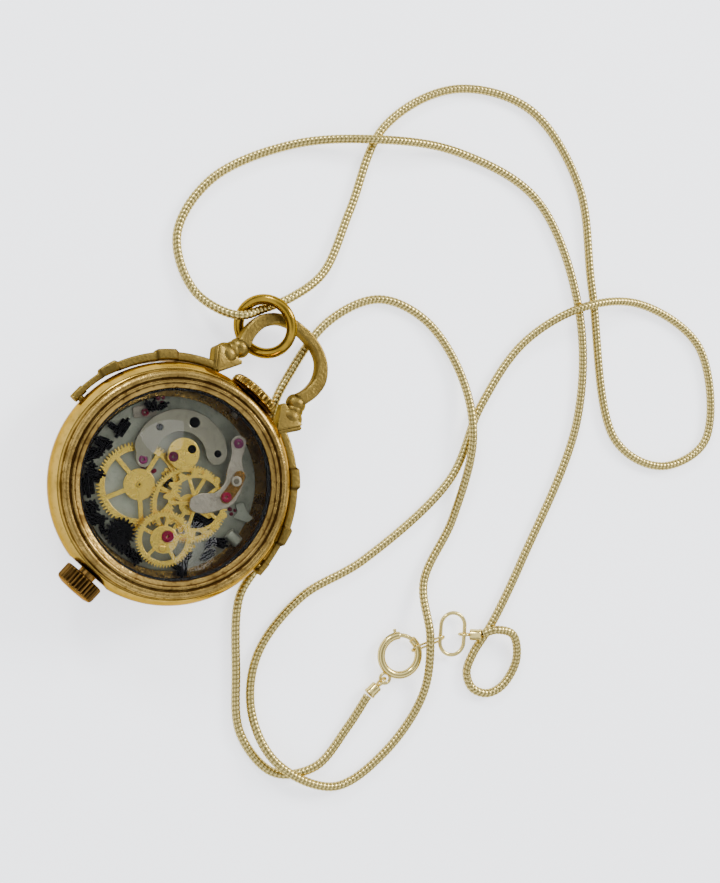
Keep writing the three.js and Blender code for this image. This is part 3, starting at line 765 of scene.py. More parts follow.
@dataclass
class CaseShell:
    """The back, the band with its crown pockets, the bezel and the crystal.

    Args:
        pockets: each crown's side, and its pocket's radius and floor.
    """

    pockets: tuple[tuple[Side, float, float], ...] = ((Side.PLUS, 4.05, 15.95), (Side.MINUS, 3.3, 16.02))

    def build(self) -> None:
        """Builds the four turned pieces."""
        self.back()
        self.band()
        self.bezel()
        self.crystal()

    def back(self) -> None:
        """The shallow dished back, turned from one profile."""
        outside = [(0.01, 0), (10, 0), (12.4, 0.4), (14.1, 1.1), (15.2, 1.97)]
        inside = [(13.2, 1.97), (12.6, 1.0), (0.01, 0.9)]
        shell = turned(filleted(outside + inside, 0.5, closed=False), closed=False)
        shell.piece("case_back", "case", CASE_GOLD, ["back_cover"])

    def band(self) -> None:
        """The bulging band: a turned profile pressed flat inside a round pocket behind each crown.

        A point inside a pocket's circle, seen along Y, is moved in to the pocket's floor, with a
        narrow soft edge. The angles crowd together at the pockets to keep their edges round.
        """
        outer = [
            (13.6, 2.05), (15.2, 2.05), (16.0, 3.2), (16.4, 4.4), (16.5, 5.5), (16.4, 6.6),
            (16.05, 7.6), (15.4, 8.7), (12.5, 8.7), (12.5, 8.3), (13.6, 7.9),
        ]
        corners = filleted(outer, 0.55, 4)
        ring = np.vstack([corners, corners[:1]])
        line, _ = evenly(np.column_stack([ring, np.zeros(len(ring))]), 261)
        profile = line[:-1, :2]
        near = np.linspace(-16, 16, 150, endpoint=False)
        far = np.linspace(16, 164, 120, endpoint=False)
        angles = np.radians(np.concatenate([near + 90, far + 90, near + 270, far + 270]))
        grid = revolved(profile, angles)
        hollow = np.zeros(grid.shape[:2])
        x, y, z = grid[..., 0], grid[..., 1], grid[..., 2]
        for end, radius, floor in self.pockets:
            side = end.value
            inside = 1 - smoothstep(radius - 0.1, radius + 0.06, np.hypot(x, z - AXIS_Z))
            inside = inside * (y * side > floor)
            y += (floor * side - y) * inside
            # painted shade: the pocket floor behind each crown is darkened as a shaded recess
            hollow = np.maximum(hollow, inside * (y * side > floor - 0.02))
        seam = np.exp(-(((z - 2.05) / 0.12) ** 2)) * (np.hypot(x, y) > 15)
        # painted shade: the whole inner wall inside the case is darkened as shade
        inner = 1.0 * (np.hypot(x, y) < 13.7)
        shell = Shell().add(grid, np.clip(hollow + seam + inner, 0, 1), along=True, caps=False)
        shell.piece("case_wall", "case", CASE_GOLD, ["case_band"])

    def bezel(self) -> None:
        """The stepped bezel: beads and grooves in the profile, with tarnish in each groove."""
        corners = [
            (13.05, 8.76), (15.2, 8.76), (15.34, 8.95), (15.34, 9.25), (15.18, 9.38), (15.27, 9.55),
            (15.25, 9.9), (15.0, 10.3), (14.62, 10.49), (14.25, 10.42), (14.1, 10.2), (13.98, 10.2),
            (13.85, 10.38), (13.6, 10.36), (13.42, 10.22), (12.78, 10.0), (12.72, 9.84), (13.05, 9.84),
        ]
        profile = filleted(corners, 0.14, 4)
        r, z = profile.T
        upper = z > 9.5
        grooves = ((14.04, 0.22), (15.22, 0.12), (13.42, 0.12), (12.76, 0.1))
        hollow = sum(np.exp(-(((r - at) / wide) ** 2)) for at, wide in grooves) * upper
        # painted shade: the bezel's underside and lower inner face, where it sits on the band below the
        # crystal, are darkened as shade
        hollow = hollow + np.exp(-(((z - 9.38) / 0.08) ** 2)) * (r > 15) + 0.8 * (z < 9.0)
        shell = turned(profile, np.clip(hollow, 0, 1)[None], steps=300)
        shell.piece("bezel_ring", "case", BEZEL_GOLD, ["bezel"])

    def crystal(self) -> None:
        """The slightly domed crystal, turned from one profile."""
        dome = [(12.85, 9.76), (12.3, 9.8), (8.5, 9.97), (4.5, 10.07), (0.01, 10.1)]
        corners = [(0.01, 9.02), (12.85, 9.02), *dome]
        shell = turned(filleted(corners, 0.25, closed=False), closed=False)
        shell.piece("crystal_glass", "case", CRYSTAL, ["crystal"])

    def dress(self) -> None:
        """Gives the hidden CAD pieces of the case their finishes."""
        for name, finish in (
            ("pivot_bush_left", COPPER_GOLD), ("pivot_bush_right", COPPER_GOLD),
            ("crown_top_tube", COPPER_GOLD), ("crown_bottom_tube", COPPER_GOLD),
            ("crown_top_stem", BRIGHT_STEEL), ("crown_bottom_stem", BRIGHT_STEEL),
            ("movement_ring", BEZEL_GOLD), ("crystal_gasket", SEAL), ("clasp_spring", BRIGHT_STEEL),
            ("great_wheel_arbor", PALE_BRASS), ("third_wheel_arbor", PALE_BRASS),
            ("fourth_wheel_arbor", PALE_BRASS), ("escape_wheel_arbor", PALE_BRASS),
        ):
            carried_over(name, finish)


def carried_over(name: str, finish: Finish) -> None:
    """Gives a CAD node that stays on show its finish.

    Args:
        name: the CAD node.
        finish: what it is made of.
    """
    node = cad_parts[name]
    node.data.materials.clear()
    node.data.materials.append(finish.material())


@dataclass
class Crown:
    """A fluted winding crown.

    Args:
        node: the CAD node it stands for.
        body: the CAD body it moves with.
        side: which end of the case it is on.
        radius: its radius.
        start: where its inner face is, from the middle of the case.
        end: where its outer face is.
        flutes: how many flutes it has.
        finish: what it is made of.
    """

    node: str
    body: str
    side: Side
    radius: float
    start: float
    end: float
    flutes: int
    finish: Finish

    def build(self) -> bpy.types.Object:
        """Builds the crown.

        The radius at height h and angle a is the turned profile's, less a depth times the
        rounded cosine |cos(n a / 2)|^1.4 of the flutes, faded out over the two rims.

        Returns:
            The crown.
        """
        deep = 0.24
        corners = [
            (0.01, self.start), (self.radius * 0.9, self.start), (self.radius, self.start + 0.16),
            (self.radius, self.end - 0.62), (self.radius * 0.93, self.end - 0.3),
            (self.radius * 0.66, self.end - 0.07), (0.01, self.end),
        ]
        line = filleted(corners, 0.12, 3, closed=False)
        line, _ = evenly(np.column_stack([line, np.zeros(len(line))]), 90)
        r, h = line[None, :, 0], line[None, :, 1]
        a = np.linspace(0, TURN, self.flutes * 12, endpoint=False)[:, None]
        wave = np.abs(np.cos(self.flutes * a / 2)) ** 1.4
        rise = smoothstep(self.start + 0.12, self.start + 0.3, h)
        fall = smoothstep(self.end - 0.62, self.end - 0.35, h)
        cut = wave * rise * (1 - fall) * (r > self.radius * 0.9)
        r = r - deep * cut
        y = np.broadcast_to(h, r.shape) * self.side.value
        grid = np.stack([r * np.cos(a), y, AXIS_Z + r * np.sin(a) * -self.side.value], -1)
        shell = Shell().add(grid, 0.95 * cut, around=False, along=True, caps=False)
        return shell.piece(self.node + "_knurled", self.body, self.finish, [self.node])

    def dress(self) -> None:
        """The crown's tarnish lies in its flutes, so nothing more is put on it."""


# ---------------------------------------------------------------- bonded watch parts


def toothed(tip: float, root: float, teeth: int, hook: float = 0.0) -> np.ndarray:
    """A toothed outline: each tooth rises from the root, is flat at its tip and falls again.

    Args:
        tip: radius at the tips.
        root: radius at the roots.
        teeth: how many teeth.
        hook: how far the tips lean round, as a share of the pitch.

    Returns:
        The (4 teeth, 2) outline.
    """
    share = np.array([0.0, 0.3, 0.42 + hook, 0.7 + hook * 0.75])
    radius = np.array([root, root, tip, tip * (1 if not hook else 0.985)])
    a = (np.arange(teeth)[:, None] + share).ravel() * TURN / teeth
    r = np.tile(radius, teeth)
    return np.column_stack([r * np.cos(a), r * np.sin(a)])


def window(hub: float, rim: float, middle: float, span: float, half_spoke: float) -> np.ndarray:
    """The opening between two straight spokes: an arc along the hub and an arc along the rim.

    Args:
        hub: radius of the hub.
        rim: inner radius of the rim.
        middle: the direction of the opening's middle.
        span: the angle between two spokes.
        half_spoke: half a spoke's width.

    Returns:
        The (24, 2) outline.
    """
    half = span / 2
    inner, outer = (half - np.arcsin(half_spoke / r) for r in (hub, rim))
    a = np.concatenate([np.linspace(-outer, outer, 14), np.linspace(inner, -inner, 10)]) + middle
    r = np.concatenate([np.full(14, rim), np.full(10, hub)])
    return np.column_stack([r * np.cos(a), r * np.sin(a)])


def strip(radius: float, half: float, start: float, end: float) -> np.ndarray:
    """A slim strip's outline, which follows an arc about the origin and ends in round lobes.

    Args:
        radius: radius of the strip's middle line.
        half: half the strip's width.
        start: where it starts, in degrees.
        end: where it ends, in degrees.

    Returns:
        The (n, 2) outline.
    """
    s, e = math.radians(start), math.radians(end)
    runs = [
        ((0, 0), radius + half, np.linspace(s, e, 24)),
        ((radius * math.cos(e), radius * math.sin(e)), half, np.linspace(e, e + math.pi, 12)),
        ((0, 0), radius - half, np.linspace(e, s, 24)),
        ((radius * math.cos(s), radius * math.sin(s)), half, np.linspace(s + math.pi, s + TURN, 12)),
    ]
    return np.vstack([
        np.column_stack([c[0] + r * np.cos(a), c[1] + r * np.sin(a)])[:-1] for c, r, a in runs
    ])


@dataclass(frozen=True)
class Wheel:
    """A train wheel, cut from sheet.

    Args:
        node: the CAD node it stands for.
        x: where its middle is.
        y: where its middle is.
        tip: radius at the tips of its teeth.
        root: radius at their roots.
        teeth: how many teeth.
        rim: inner radius of its rim.
        hub: radius of its hub.
        spokes: how many spokes.
        half_spoke: half a spoke's width.
        low: height of its lower face.
        high: height of its upper face.
        phase: direction of its first spoke, in radians.
        finish: what it is made of.
        hook: how far its teeth lean round, as a share of their pitch.
    """

    node: str
    x: float
    y: float
    tip: float
    root: float
    teeth: int
    rim: float
    hub: float
    spokes: int
    half_spoke: float
    low: float
    high: float
    phase: float
    finish: Finish
    hook: float = 0.0

    def build(self) -> bpy.types.Object:
        """Builds the wheel as a plate with a window between each two spokes.

        Returns:
            The wheel.
        """
        span = TURN / self.spokes
        middles = self.phase + (np.arange(self.spokes) + 0.5) * span
        holes = [window(self.hub, self.rim, m, span, self.half_spoke) for m in middles]
        shell = plate(
            [toothed(self.tip, self.root, self.teeth, self.hook), circle(0.4, 20), *holes],
            self.low, self.high, (self.x, self.y), bevel=0.025,
        )
        return shell.piece(self.node + "_cut", "case", self.finish, [self.node], sharp=30)


@dataclass
class Movement:
    """The plate, the bridge, the cock, the wheels and the loose parts, bonded under the glass.

    Args:
        wheels: the four train wheels.
    """

    wheels: tuple[Wheel, ...] = (
        Wheel("great_wheel", -3.1, -3.0, 5.7, 5.25, 72, 4.55, 2.1, 5, 0.3, 5.35, 5.6, 0.5, PALE_BRASS),
        Wheel("third_wheel", 3.6, -0.45, 5.3, 4.95, 80, 4.4, 1.4, 4, 0.26, 5.8, 6.05, 0.2, PALE_BRASS),
        Wheel("fourth_wheel", 4.0, -6.2, 3.85, 3.5, 56, 2.95, 0.9, 5, 0.24, 7.2, 7.45, 0.9, PALE_BRASS),
        Wheel("escape_wheel", 4.1, 0.3, 4.6, 3.85, 15, 3.4, 0.8, 5, 0.22, 6.4, 6.62, 0.1, PALE_BRASS, 0.3),
    )

    def build(self) -> None:
        """Builds every bonded part."""
        for wheel in self.wheels:
            wheel.build()
        self.plate_and_bridge()
        self.cock()
        self.jewels()
        self.loose_parts()
        self.pinion_heaps()

    def plate_and_bridge(self) -> None:
        """The round base plate, the curved bridge on its posts and the disc that stands on it."""
        rim = filleted([(0.01, 4.2), (11.7, 4.2), (11.7, 5.0), (0.01, 5.0)], 0.12, closed=False)
        turned(rim, closed=False).piece("base_plate", "case", NICKEL, ["main_plate"])
        centre, posts, foot = np.array([-1.7, 3.35]), ((-6.5, 4.3), (-3.5, 8.0), (1.7, 7.1)), (-5.15, -0.35)
        bores = zip((*posts, foot), (0.5, 0.72, 0.5, 0.62), strict=True)
        holes = [circle(radius, 24) + np.array(at) - centre for at, radius in bores]
        wide, leg = strip(4.95, 1.5, 48, 205), strip(5.0, 1.02, 203, 227)
        shell = plate([wide, *holes[:3]], 6.02, 6.7, centre, 0.07)
        points, faces = sheet_metal([leg, holes[3]], 6.02, 6.69, 0.07)
        shell.gather(points + [*centre, 0], faces)
        # painted shade: the posts under the bridge are darkened almost fully as shade
        for x, y in posts:
            shell.add(rod(x, y, 0.9, BED, 6.1), 0.95)
        shell.piece("bridge_plate", "case", KHAKI_STEEL, ["train_bridge"])
        seats = [circle(0.72, 24) + [-0.75, -1.25], circle(0.58, 24) + [0.4, 1.2]]
        disc = plate([circle(2.12, 60), *seats], 6.72, 6.95, (-1.75, 3.9))
        disc.add(rod(-1.75, 3.9, 0.5, BED, 6.7))
        disc.piece("cap_plate", "case", PALE_BRASS, ["cap_disc"])
        # painted shade: black discs sunk in the holes of the bridge and of the cap disc, and a dot on the
        # great wheel's arbor, make the holes look dark
        hole_shade = Shell()
        for x, y, radius, low, high in (
            (-1.35, 5.1, 0.66, 6.66, 6.76), (-6.5, 4.3, 0.56, 6.3, 6.45), (-3.5, 8.0, 0.8, 6.3, 6.5),
            (1.7, 7.1, 0.56, 6.3, 6.45), (-3.1, -3.0, 0.16, 5.86, 5.9),
        ):
            hole_shade.add(rod(x, y, radius, low, high, 0.02))
        hole_shade.piece("hole_floor_shade", "case", BLACK_STEEL)

    def cock(self) -> None:
        """The long curved cock, its brass inlay and its screw."""
        outline = [
            (1.7, 9.6), (2.0, 10.8), (3.1, 11.0), (3.8, 10.1), (4.5, 8.7), (6.2, 7.3), (7.3, 5.6),
            (7.7, 3.6), (6.9, 1.6), (5.2, -0.5), (3.8, -0.9), (3.0, 0.2), (3.6, 1.6), (4.9, 3.0),
            (4.9, 4.8), (3.9, 6.4), (3.0, 8.2),
        ]
        ring = np.column_stack([outline, np.zeros(len(outline))])
        curve = spline(np.vstack([ring, ring, ring]), 5)[len(ring) * 5 : len(ring) * 10, :2]
        shell = plate([curve], 7.1, 7.6, bevel=0.08)
        shell.add(rod(2.65, 9.95, 0.65, BED, 7.2)).add(rod(5.9, 6.0, 0.65, BED, 7.2))
        shell.piece("cock_arm", "case", BRIGHT_STEEL, ["escape_cock"])
        turn = turn_matrix(math.degrees(0.12), "Z")[:2, :2]
        inlay = plate([strip(9.0, 0.78, -8, 14) @ turn.T], 7.62, 7.82, (-2.6, 3.6))
        inlay.piece("cock_brass", "case", COPPER_GOLD, ["cock_inlay"])
        screw = Shell().add(rod(5.9, 6.0, 0.72, 7.83, 8.0)).add(rod(5.9, 6.0, 0.4, 7.9, 8.03), 1.0)
        screw.piece("cock_screw_head", "case", BRIGHT_STEEL, ["cock_screw"])

    def jewels(self) -> None:
        """The pressed stones: each is a low disc with a dark pivot hole in a raised ring."""
        for node, x, y, radius, low, high, finish in (
            ("bridge_jewel", -5.15, -0.35, 0.58, 6.1, 6.66, PLUM),
            ("cap_jewel", -2.5, 2.65, 0.68, 6.75, 6.97, DARK_JEWEL),
            ("hub_jewel", 4.1, -5.7, 0.78, 7.7, 7.98, RUBY),
            ("cock_jewel", 6.35, 3.5, 0.7, 7.84, 8.0, RUBY),
            ("cock_end_jewel", 2.65, 9.95, 0.68, 7.62, 7.8, PLUM),
            ("loose_jewel", -9.1, 4.5, 0.5, 5.4, 5.75, RUBY),
        ):
            pivot = [(0.14, low), (0.14, high - 0.3), (0.2, high - 0.04)]
            face = [(radius * 0.5, high), (radius, high), (radius, low)]
            shell = turned(filleted(pivot[1:] + face + pivot[:1], 0.03), steps=40)
            shell.points[0] = shell.points[0] + [x, y, 0]
            shell.piece(node + "_stone", "case", finish, [node])
        seats = [circle(0.84, 24) + [0.1, 0.6], circle(0.48, 20) + [0.6, -1.0]]
        hub = plate([circle(1.85, 60), *seats], 7.5, 7.85, (4.0, -6.3))
        hub.piece("hub_plate", "case", PALE_BRASS, ["hub_disc"])
        pin = Shell().add(rod(4.6, -7.3, 0.44, 7.65, 8.05, 0.15))
        pin.piece("hub_pin_head", "case", PALE_BRASS, ["hub_pin"])

    def loose_parts(self) -> None:
        """The dark toothed wheel, the stud, the lever and the thin steel strip."""
        gear = plate([toothed(2.1, 1.62, 20)], 5.7, 6.2, (-0.6, -9.4))
        gear.add(rod(-0.6, -9.4, 0.9, BED, 5.75)).add(rod(-0.6, -9.4, 0.5, 6.15, 6.5), 0.4)
        gear.piece("click_gear_cut", "case", BLACK_STEEL, ["click_gear"])
        path = np.array([[10.2, 0.4, 5.91], [10.3, 0.4, 5.91], [12.1, 0.4, 5.91], [12.2, 0.4, 5.91]])
        section = np.array([0.74, 0.85, 0.85, 0.74])[:, None, None] * circle(1, 36)
        Shell().add(carried(path, section)).piece("stud_pin", "case", NICKEL, ["stud"])
        lever = [(0, 0), (2.2, 0.3), (2.6, 1.2), (1.6, 1.5), (0.4, 2.6), (-0.6, 1.8), (0.3, 1.0)]
        scrap = [(-1.6, -0.7), (1.4, -0.9), (1.8, 0.5), (0.2, 0.9), (-1.5, 0.8)]
        for node, corners, high, at, turn, finish in (
            ("setting_lever", lever, 5.4, (9.4, 2.4), 17.2, NICKEL),
            ("steel_strip", scrap, 5.35, (-9.2, 4.6), 51.6, BRIGHT_STEEL),
        ):
            outline = filleted(corners, 0.3) @ turn_matrix(turn, "Z")[:2, :2].T
            plate([outline], BED, high, at).piece(node + "_cut", "case", finish, [node])

    def pinion_heaps(self) -> None:
        """Heaps of black leaf pinions: six lie where the CAD nodes are and others lie among them."""
        known = (
            (-10.4, -4.6, 66, 8, 0.62, 3.0), (-9.9, 0.9, 100, 8, 0.7, 2.2), (-8.0, -7.7, 140, 8, 0.8, 2.4),
            (-4.9, -10.6, 20, 8, 0.75, 2.2), (8.8, -7.2, 130, 8, 0.7, 2.2), (10.2, -3.6, 75, 7, 0.55, 1.6),
        )
        for index, (x, y, heading, leaves, radius, length) in enumerate(known, 1):
            name = f"leaf_pinion_{index}"
            shell = Shell()
            leaf_pinion(shell, (x, y, BED + radius), heading, leaves, radius, length)
            shell.piece(name + "_cut", "case", BLACK_STEEL, [name])
        draw = np.random.default_rng(11)
        heap = Shell()
        for around, count, spread in (
            ((-10.3, -2.4), 9, (1.0, 2.6)), ((-8.6, -6.6), 9, (1.3, 1.3)), ((-4.6, -10.2), 9, (2.0, 0.8)),
            ((2.4, -10.6), 7, (1.8, 0.5)), ((8.6, -6.8), 8, (1.0, 1.6)), ((6.6, -1.2), 5, (0.8, 1.2)),
            ((-8.9, 6.0), 5, (1.0, 1.2)), ((-0.6, -0.6), 4, (0.8, 0.8)), ((9.9, -1.8), 3, (0.6, 0.8)),
        ):
            for _ in range(count):
                x, y = np.asarray(around) + draw.uniform(-1, 1, 2) * spread
                radius, length = draw.uniform(0.3, 0.55), draw.uniform(0.7, 1.5)
                pull = min(1, 10.9 / math.hypot(x, y))
                height = BED + radius + draw.uniform(0, 0.5)
                leaf_pinion(heap, (x * pull, y * pull, height), draw.uniform(0, 180), 8, radius, length)
        heap.piece("pinion_heap", "case", BLACK_STEEL)

    def dress(self) -> None:
        """Adds the small brass and ruby crumbs that lie between the parts."""
        draw = np.random.default_rng(5)
        for name, finish, spots in (
            ("brass_crumbs", PALE_BRASS, ((-1.2, 0.4), (0.6, -7.9), (7.9, -4.4), (-0.2, 1.0), (1.0, 2.6))),
            ("ruby_crumbs", RUBY, ((-4.0, -1.05), (4.5, -9.6), (-8.6, 7.2), (8.6, 3.0), (-3.2, -0.2))),
        ):
            shell = Shell()
            for x, y in spots:
                for _ in range(3):
                    dx, dy = draw.uniform(-0.5, 0.5, 2)
                    radius = draw.uniform(0.18, 0.4)
                    shell.add(rod(x + dx, y + dy, radius, BED, BED + draw.uniform(0.15, 0.28), 0.04, 14))
            shell.piece(name, "case", finish)


def leaf_pinion(
    shell: Shell, at: Sequence[float], heading: float, leaves: int, radius: float, length: float,
) -> None:
    """Adds a leaf pinion that lies on its side.

    Its section is a circle with leaves, radius (0.62 + 0.38 square(n a)) r, carried along a level
    line. Its two pivots are thinner rounds at the ends.

    Args:
        shell: what it is added to.
        at: its middle.
        heading: the direction of its axis, in degrees from X.
        leaves: how many leaves.
        radius: radius at the leaf tips.
        length: length of the leaves.
    """
    a = np.linspace(0, TURN, leaves * 4, endpoint=False)
    reach = radius * np.where(np.arange(leaves * 4) % 4 < 2, 1.0, 0.62)
    leaf = reach[:, None] * np.column_stack([np.cos(a), np.sin(a)])
    along = turn_matrix(heading, "Z")[:, 0]
    for half, section in ((length / 2, leaf), (length / 2 + 0.45, circle(radius * 0.34, 10))):
        path = np.asarray(at, float) + along * np.array([-half, -half + 0.01, half - 0.01, half])[:, None]
        shell.add(carried(path, section))


# ---------------------------------------------------------------- bail and jump ring


@dataclass
class Bail:
    """The satin stirrup, cast in one piece, which turns on two pins in the case.

    Args:
        band: radius of the middle of its arms.
        shell: what its surfaces are gathered in.
    """

    band: float = 17.25
    shell: Shell = field(default_factory=Shell)

    def hung(self, points: np.ndarray) -> np.ndarray:
        """Points given in the bail's own plane, hung at its pivots and drooped."""
        return points @ turn_matrix(-DROOP, "X").T + [0, 0, AXIS_Z]

    def build(self) -> bpy.types.Object:
        """Builds both arms and the arch into one piece.

        Returns:
            The bail.
        """
        for side in Side:
            self.arm(side.value)
        self.arch()
        return self.shell.piece("stirrup_bail", "bail", SATIN_BRASS, ["bail_stirrup"])

    def arm(self, side: int) -> None:
        """One arm: a band round the case with two raised blocks, an arrow, a collar and knuckles.

        Args:
            side: 1 for the arm on the right, -1 for its mirror image.
        """
        flip = np.array([side, 1, 1])
        first, last, steps = -1.5, 69, 140
        angle = np.linspace(first, last, steps)
        path = arc(self.band, first, last, steps)
        block = (smoothstep(13.2, 14.6, angle) * (1 - smoothstep(21.4, 22.8, angle))
                 + smoothstep(39.6, 41.2, angle) * (1 - smoothstep(48.8, 50.4, angle)))
        thin = 1 - smoothstep(10, 24, angle)
        half_wide = 0.62 + 0.16 * block - 0.2 * thin
        half_tall = 1.22 + 0.14 * block - 0.6 * thin
        corner = filleted([(-1, -1), (1, -1), (1, 1), (-1, 1)], 0.42, 4)
        section = corner[None] * np.stack([half_wide, half_tall], 1)[:, None]
        section[..., 0] += (0.22 * block)[:, None]
        edge = np.abs(np.gradient(block))[:, None] * 2.2
        self.shell.add(self.hung(carried(path, section) * flip), np.clip(edge, 0, 0.8))
        for line, radius in (
            ([(17.25, -0.75, 0), (17.25, 0.2, 0), (17.22, 1.2, 0)], 0.6),
            ([(15.4, 0, 0), (16.4, 0, 0), (17.5, 0, 0)], 0.44),
        ):
            self.shell.add(self.hung(carried(spline(line, 6), circle(radius, 24)) * flip))
        lean = turn_matrix(54, "Z")
        size = np.concatenate([[0.86, 1.0], np.linspace(1.0, 0.12, 10)])
        ahead = np.concatenate([[-0.12, 0.02], np.linspace(0.1, 3.5, 10)])
        path = np.column_stack([0 * ahead, ahead, 0 * ahead])
        square = filleted([(-1.95, -1.45), (1.95, -1.45), (1.95, 1.45), (-1.95, 1.45)], 0.22, 3)
        base = [6.9, 17.0, 0]
        taper = np.stack([size, 0.5 + 0.5 * size], 1)[:, None]
        self.shell.add(self.hung((carried(path, square[None] * taper) @ lean.T + base) * flip))
        size = 0.92 * np.array([0.86, 0.98, 1.0, 0.98, 0.86])[:, None, None]
        path = np.column_stack([np.zeros(5), np.linspace(-0.68, 0.0, 5), np.zeros(5)])
        self.shell.add(self.hung((carried(path, square[None] * size) @ lean.T + base) * flip), 0.25)
        for centre, radii in (
            ((6.35, 18.5, 0), (1.8, 1.55, 1.45)),
            ((6.05, 19.6, 0), (1.3, 1.3, 1.15)),
            ((5.6, 20.5, 0), (1.5, 1.35, 1.25)),
        ):
            self.shell.add(self.hung(ellipsoid(centre, radii) * flip))

    def arch(self) -> None:
        """The keyhole arch: two smooth outlines, filled and carried through the bail's thickness."""
        inner = [(4.5, 21.2), (5.1, 23.0), (5.0, 25.0), (3.9, 26.85), (2.1, 27.8), (0, 28.0)]
        outer = [(0, 29.45), (2.8, 29.05), (5.2, 27.75), (6.75, 25.6), (7.0, 23.2), (6.5, 20.95)]
        half = [
            spline(np.column_stack([side, np.zeros(len(side))]), 8)[:, :2] for side in (inner, outer)
        ]
        mirrored = [(side * [-1, 1])[::-1] for side in half]
        outline = np.vstack([half[1], half[0], mirrored[0][1:], mirrored[1][:-1]])
        points, faces = sheet_metal([outline], -1.14, 1.14, 0.34)
        self.shell.gather(self.hung(points), faces)

    def dress(self) -> None:
        """The bail's finish is its cast grain, so nothing more is put on it."""


@dataclass
class JumpRing:
    """The thick ring between the bail and the chain, tilted so that one side lies on the arch.

    Args:
        centre: its middle.
        normal: the direction of its axis.
        radius: radius of the middle of its wire.
        wire: radius of its wire.
    """

    centre: tuple[float, float, float] = (-4.96, 25.31, 3.05)
    normal: tuple[float, float, float] = (-0.22, -0.66, 1.0)
    radius: float = 3.85
    wire: float = 0.74

    def build(self) -> bpy.types.Object:
        """Builds the ring: a round wire carried round a circle, then tilted.

        Returns:
            The ring.
        """
        normal = unit(np.array(self.normal))
        across = unit(np.cross([0, 0, 1.0], normal))
        basis = np.stack([across, np.cross(normal, across), normal], 1)
        flat = carried(arc(self.radius, 0, 360, 121)[:-1], circle(self.wire, 28), closed=True)
        shell = Shell().add(flat @ basis.T + self.centre, along=True, caps=False)
        return shell.piece("ring", "necklace", RING_BRASS, ["jump_ring"])

    def dress(self) -> None:
        """The ring is plain, so nothing more is put on it."""


# ---------------------------------------------------------------- necklace

CHAIN_ROUTE = (  # metres, from the clasp end to the plain end
    (0.0430, -0.0022, 0.0010), (0.0439, -0.0076, 0.00066), (0.0440, -0.0147, 0.00066),
    (0.0398, -0.0192, 0.00066), (0.0322, -0.0183, 0.00066), (0.0256, -0.0122, 0.00066),
    (0.0189, -0.0044, 0.00066), (0.01775, 0.0010, 0.00066), (0.0153, 0.0090, 0.00066),
    (0.0049, 0.0171, 0.00066), (0.0024, 0.0242, 0.00066), (0.0016, 0.0334, 0.00066),
    (0.0048, 0.0409, 0.00066), (0.0120, 0.0438, 0.00066), (0.0215, 0.0418, 0.0011),
    (0.0290, 0.0360, 0.00225), (0.0353, 0.0253, 0.0009), (0.0382, 0.0155, 0.0011),
    (0.0440, 0.0098, 0.0030), (0.0494, 0.0034, 0.0012), (0.0508, -0.0064, 0.00066),
    (0.0481, -0.0149, 0.0011), (0.0386, -0.0180, 0.0023), (0.0315, -0.0152, 0.00085),
    (0.0265, -0.0087, 0.00066), (0.0257, 0.0014, 0.00066), (0.0291, 0.0117, 0.00066),
    (0.0310, 0.0295, 0.00066), (0.0271, 0.0409, 0.00066), (0.0256, 0.0528, 0.0010),
    (0.0288, 0.0634, 0.0023), (0.0365, 0.0714, 0.0009), (0.0483, 0.0735, 0.00066),
    (0.0588, 0.0637, 0.00066), (0.0559, 0.0554, 0.00066), (0.0471, 0.0527, 0.00066),
    (0.0283, 0.0667, 0.00066), (0.0156, 0.0767, 0.00066), (0.0022, 0.0790, 0.00066),
    (-0.0082, 0.0721, 0.00066), (-0.0119, 0.0597, 0.00066), (-0.0072, 0.0471, 0.00066),
    (-0.0039, 0.0376, 0.0012), (-0.00495, 0.03125, 0.0026), (-0.00666, 0.0273, 0.00295),
    (-0.00895, 0.0235, 0.0035), (-0.0153, 0.0222, 0.0012), (-0.0223, 0.0262, 0.00066),
    (-0.0243, 0.0352, 0.00066), (-0.0198, 0.0472, 0.0009), (-0.0117, 0.0568, 0.00225),
    (-0.0012, 0.0657, 0.0008), (0.0124, 0.0699, 0.00066), (0.0282, 0.0633, 0.00066),
    (0.0402, 0.0504, 0.00066), (0.0480, 0.0286, 0.00066), (0.0508, 0.0184, 0.00066),
    (0.0516, 0.0130, 0.00066), (0.0527, 0.0104, 0.00066), (0.0550, 0.0093, 0.00066),
    (0.0574, 0.0103, 0.00066), (0.0585, 0.0128, 0.00066), (0.0575, 0.0170, 0.0009),
    (0.0542, 0.0192, 0.0017), (0.0513, 0.0178, 0.00235), (0.0501, 0.0159, 0.0021),
)


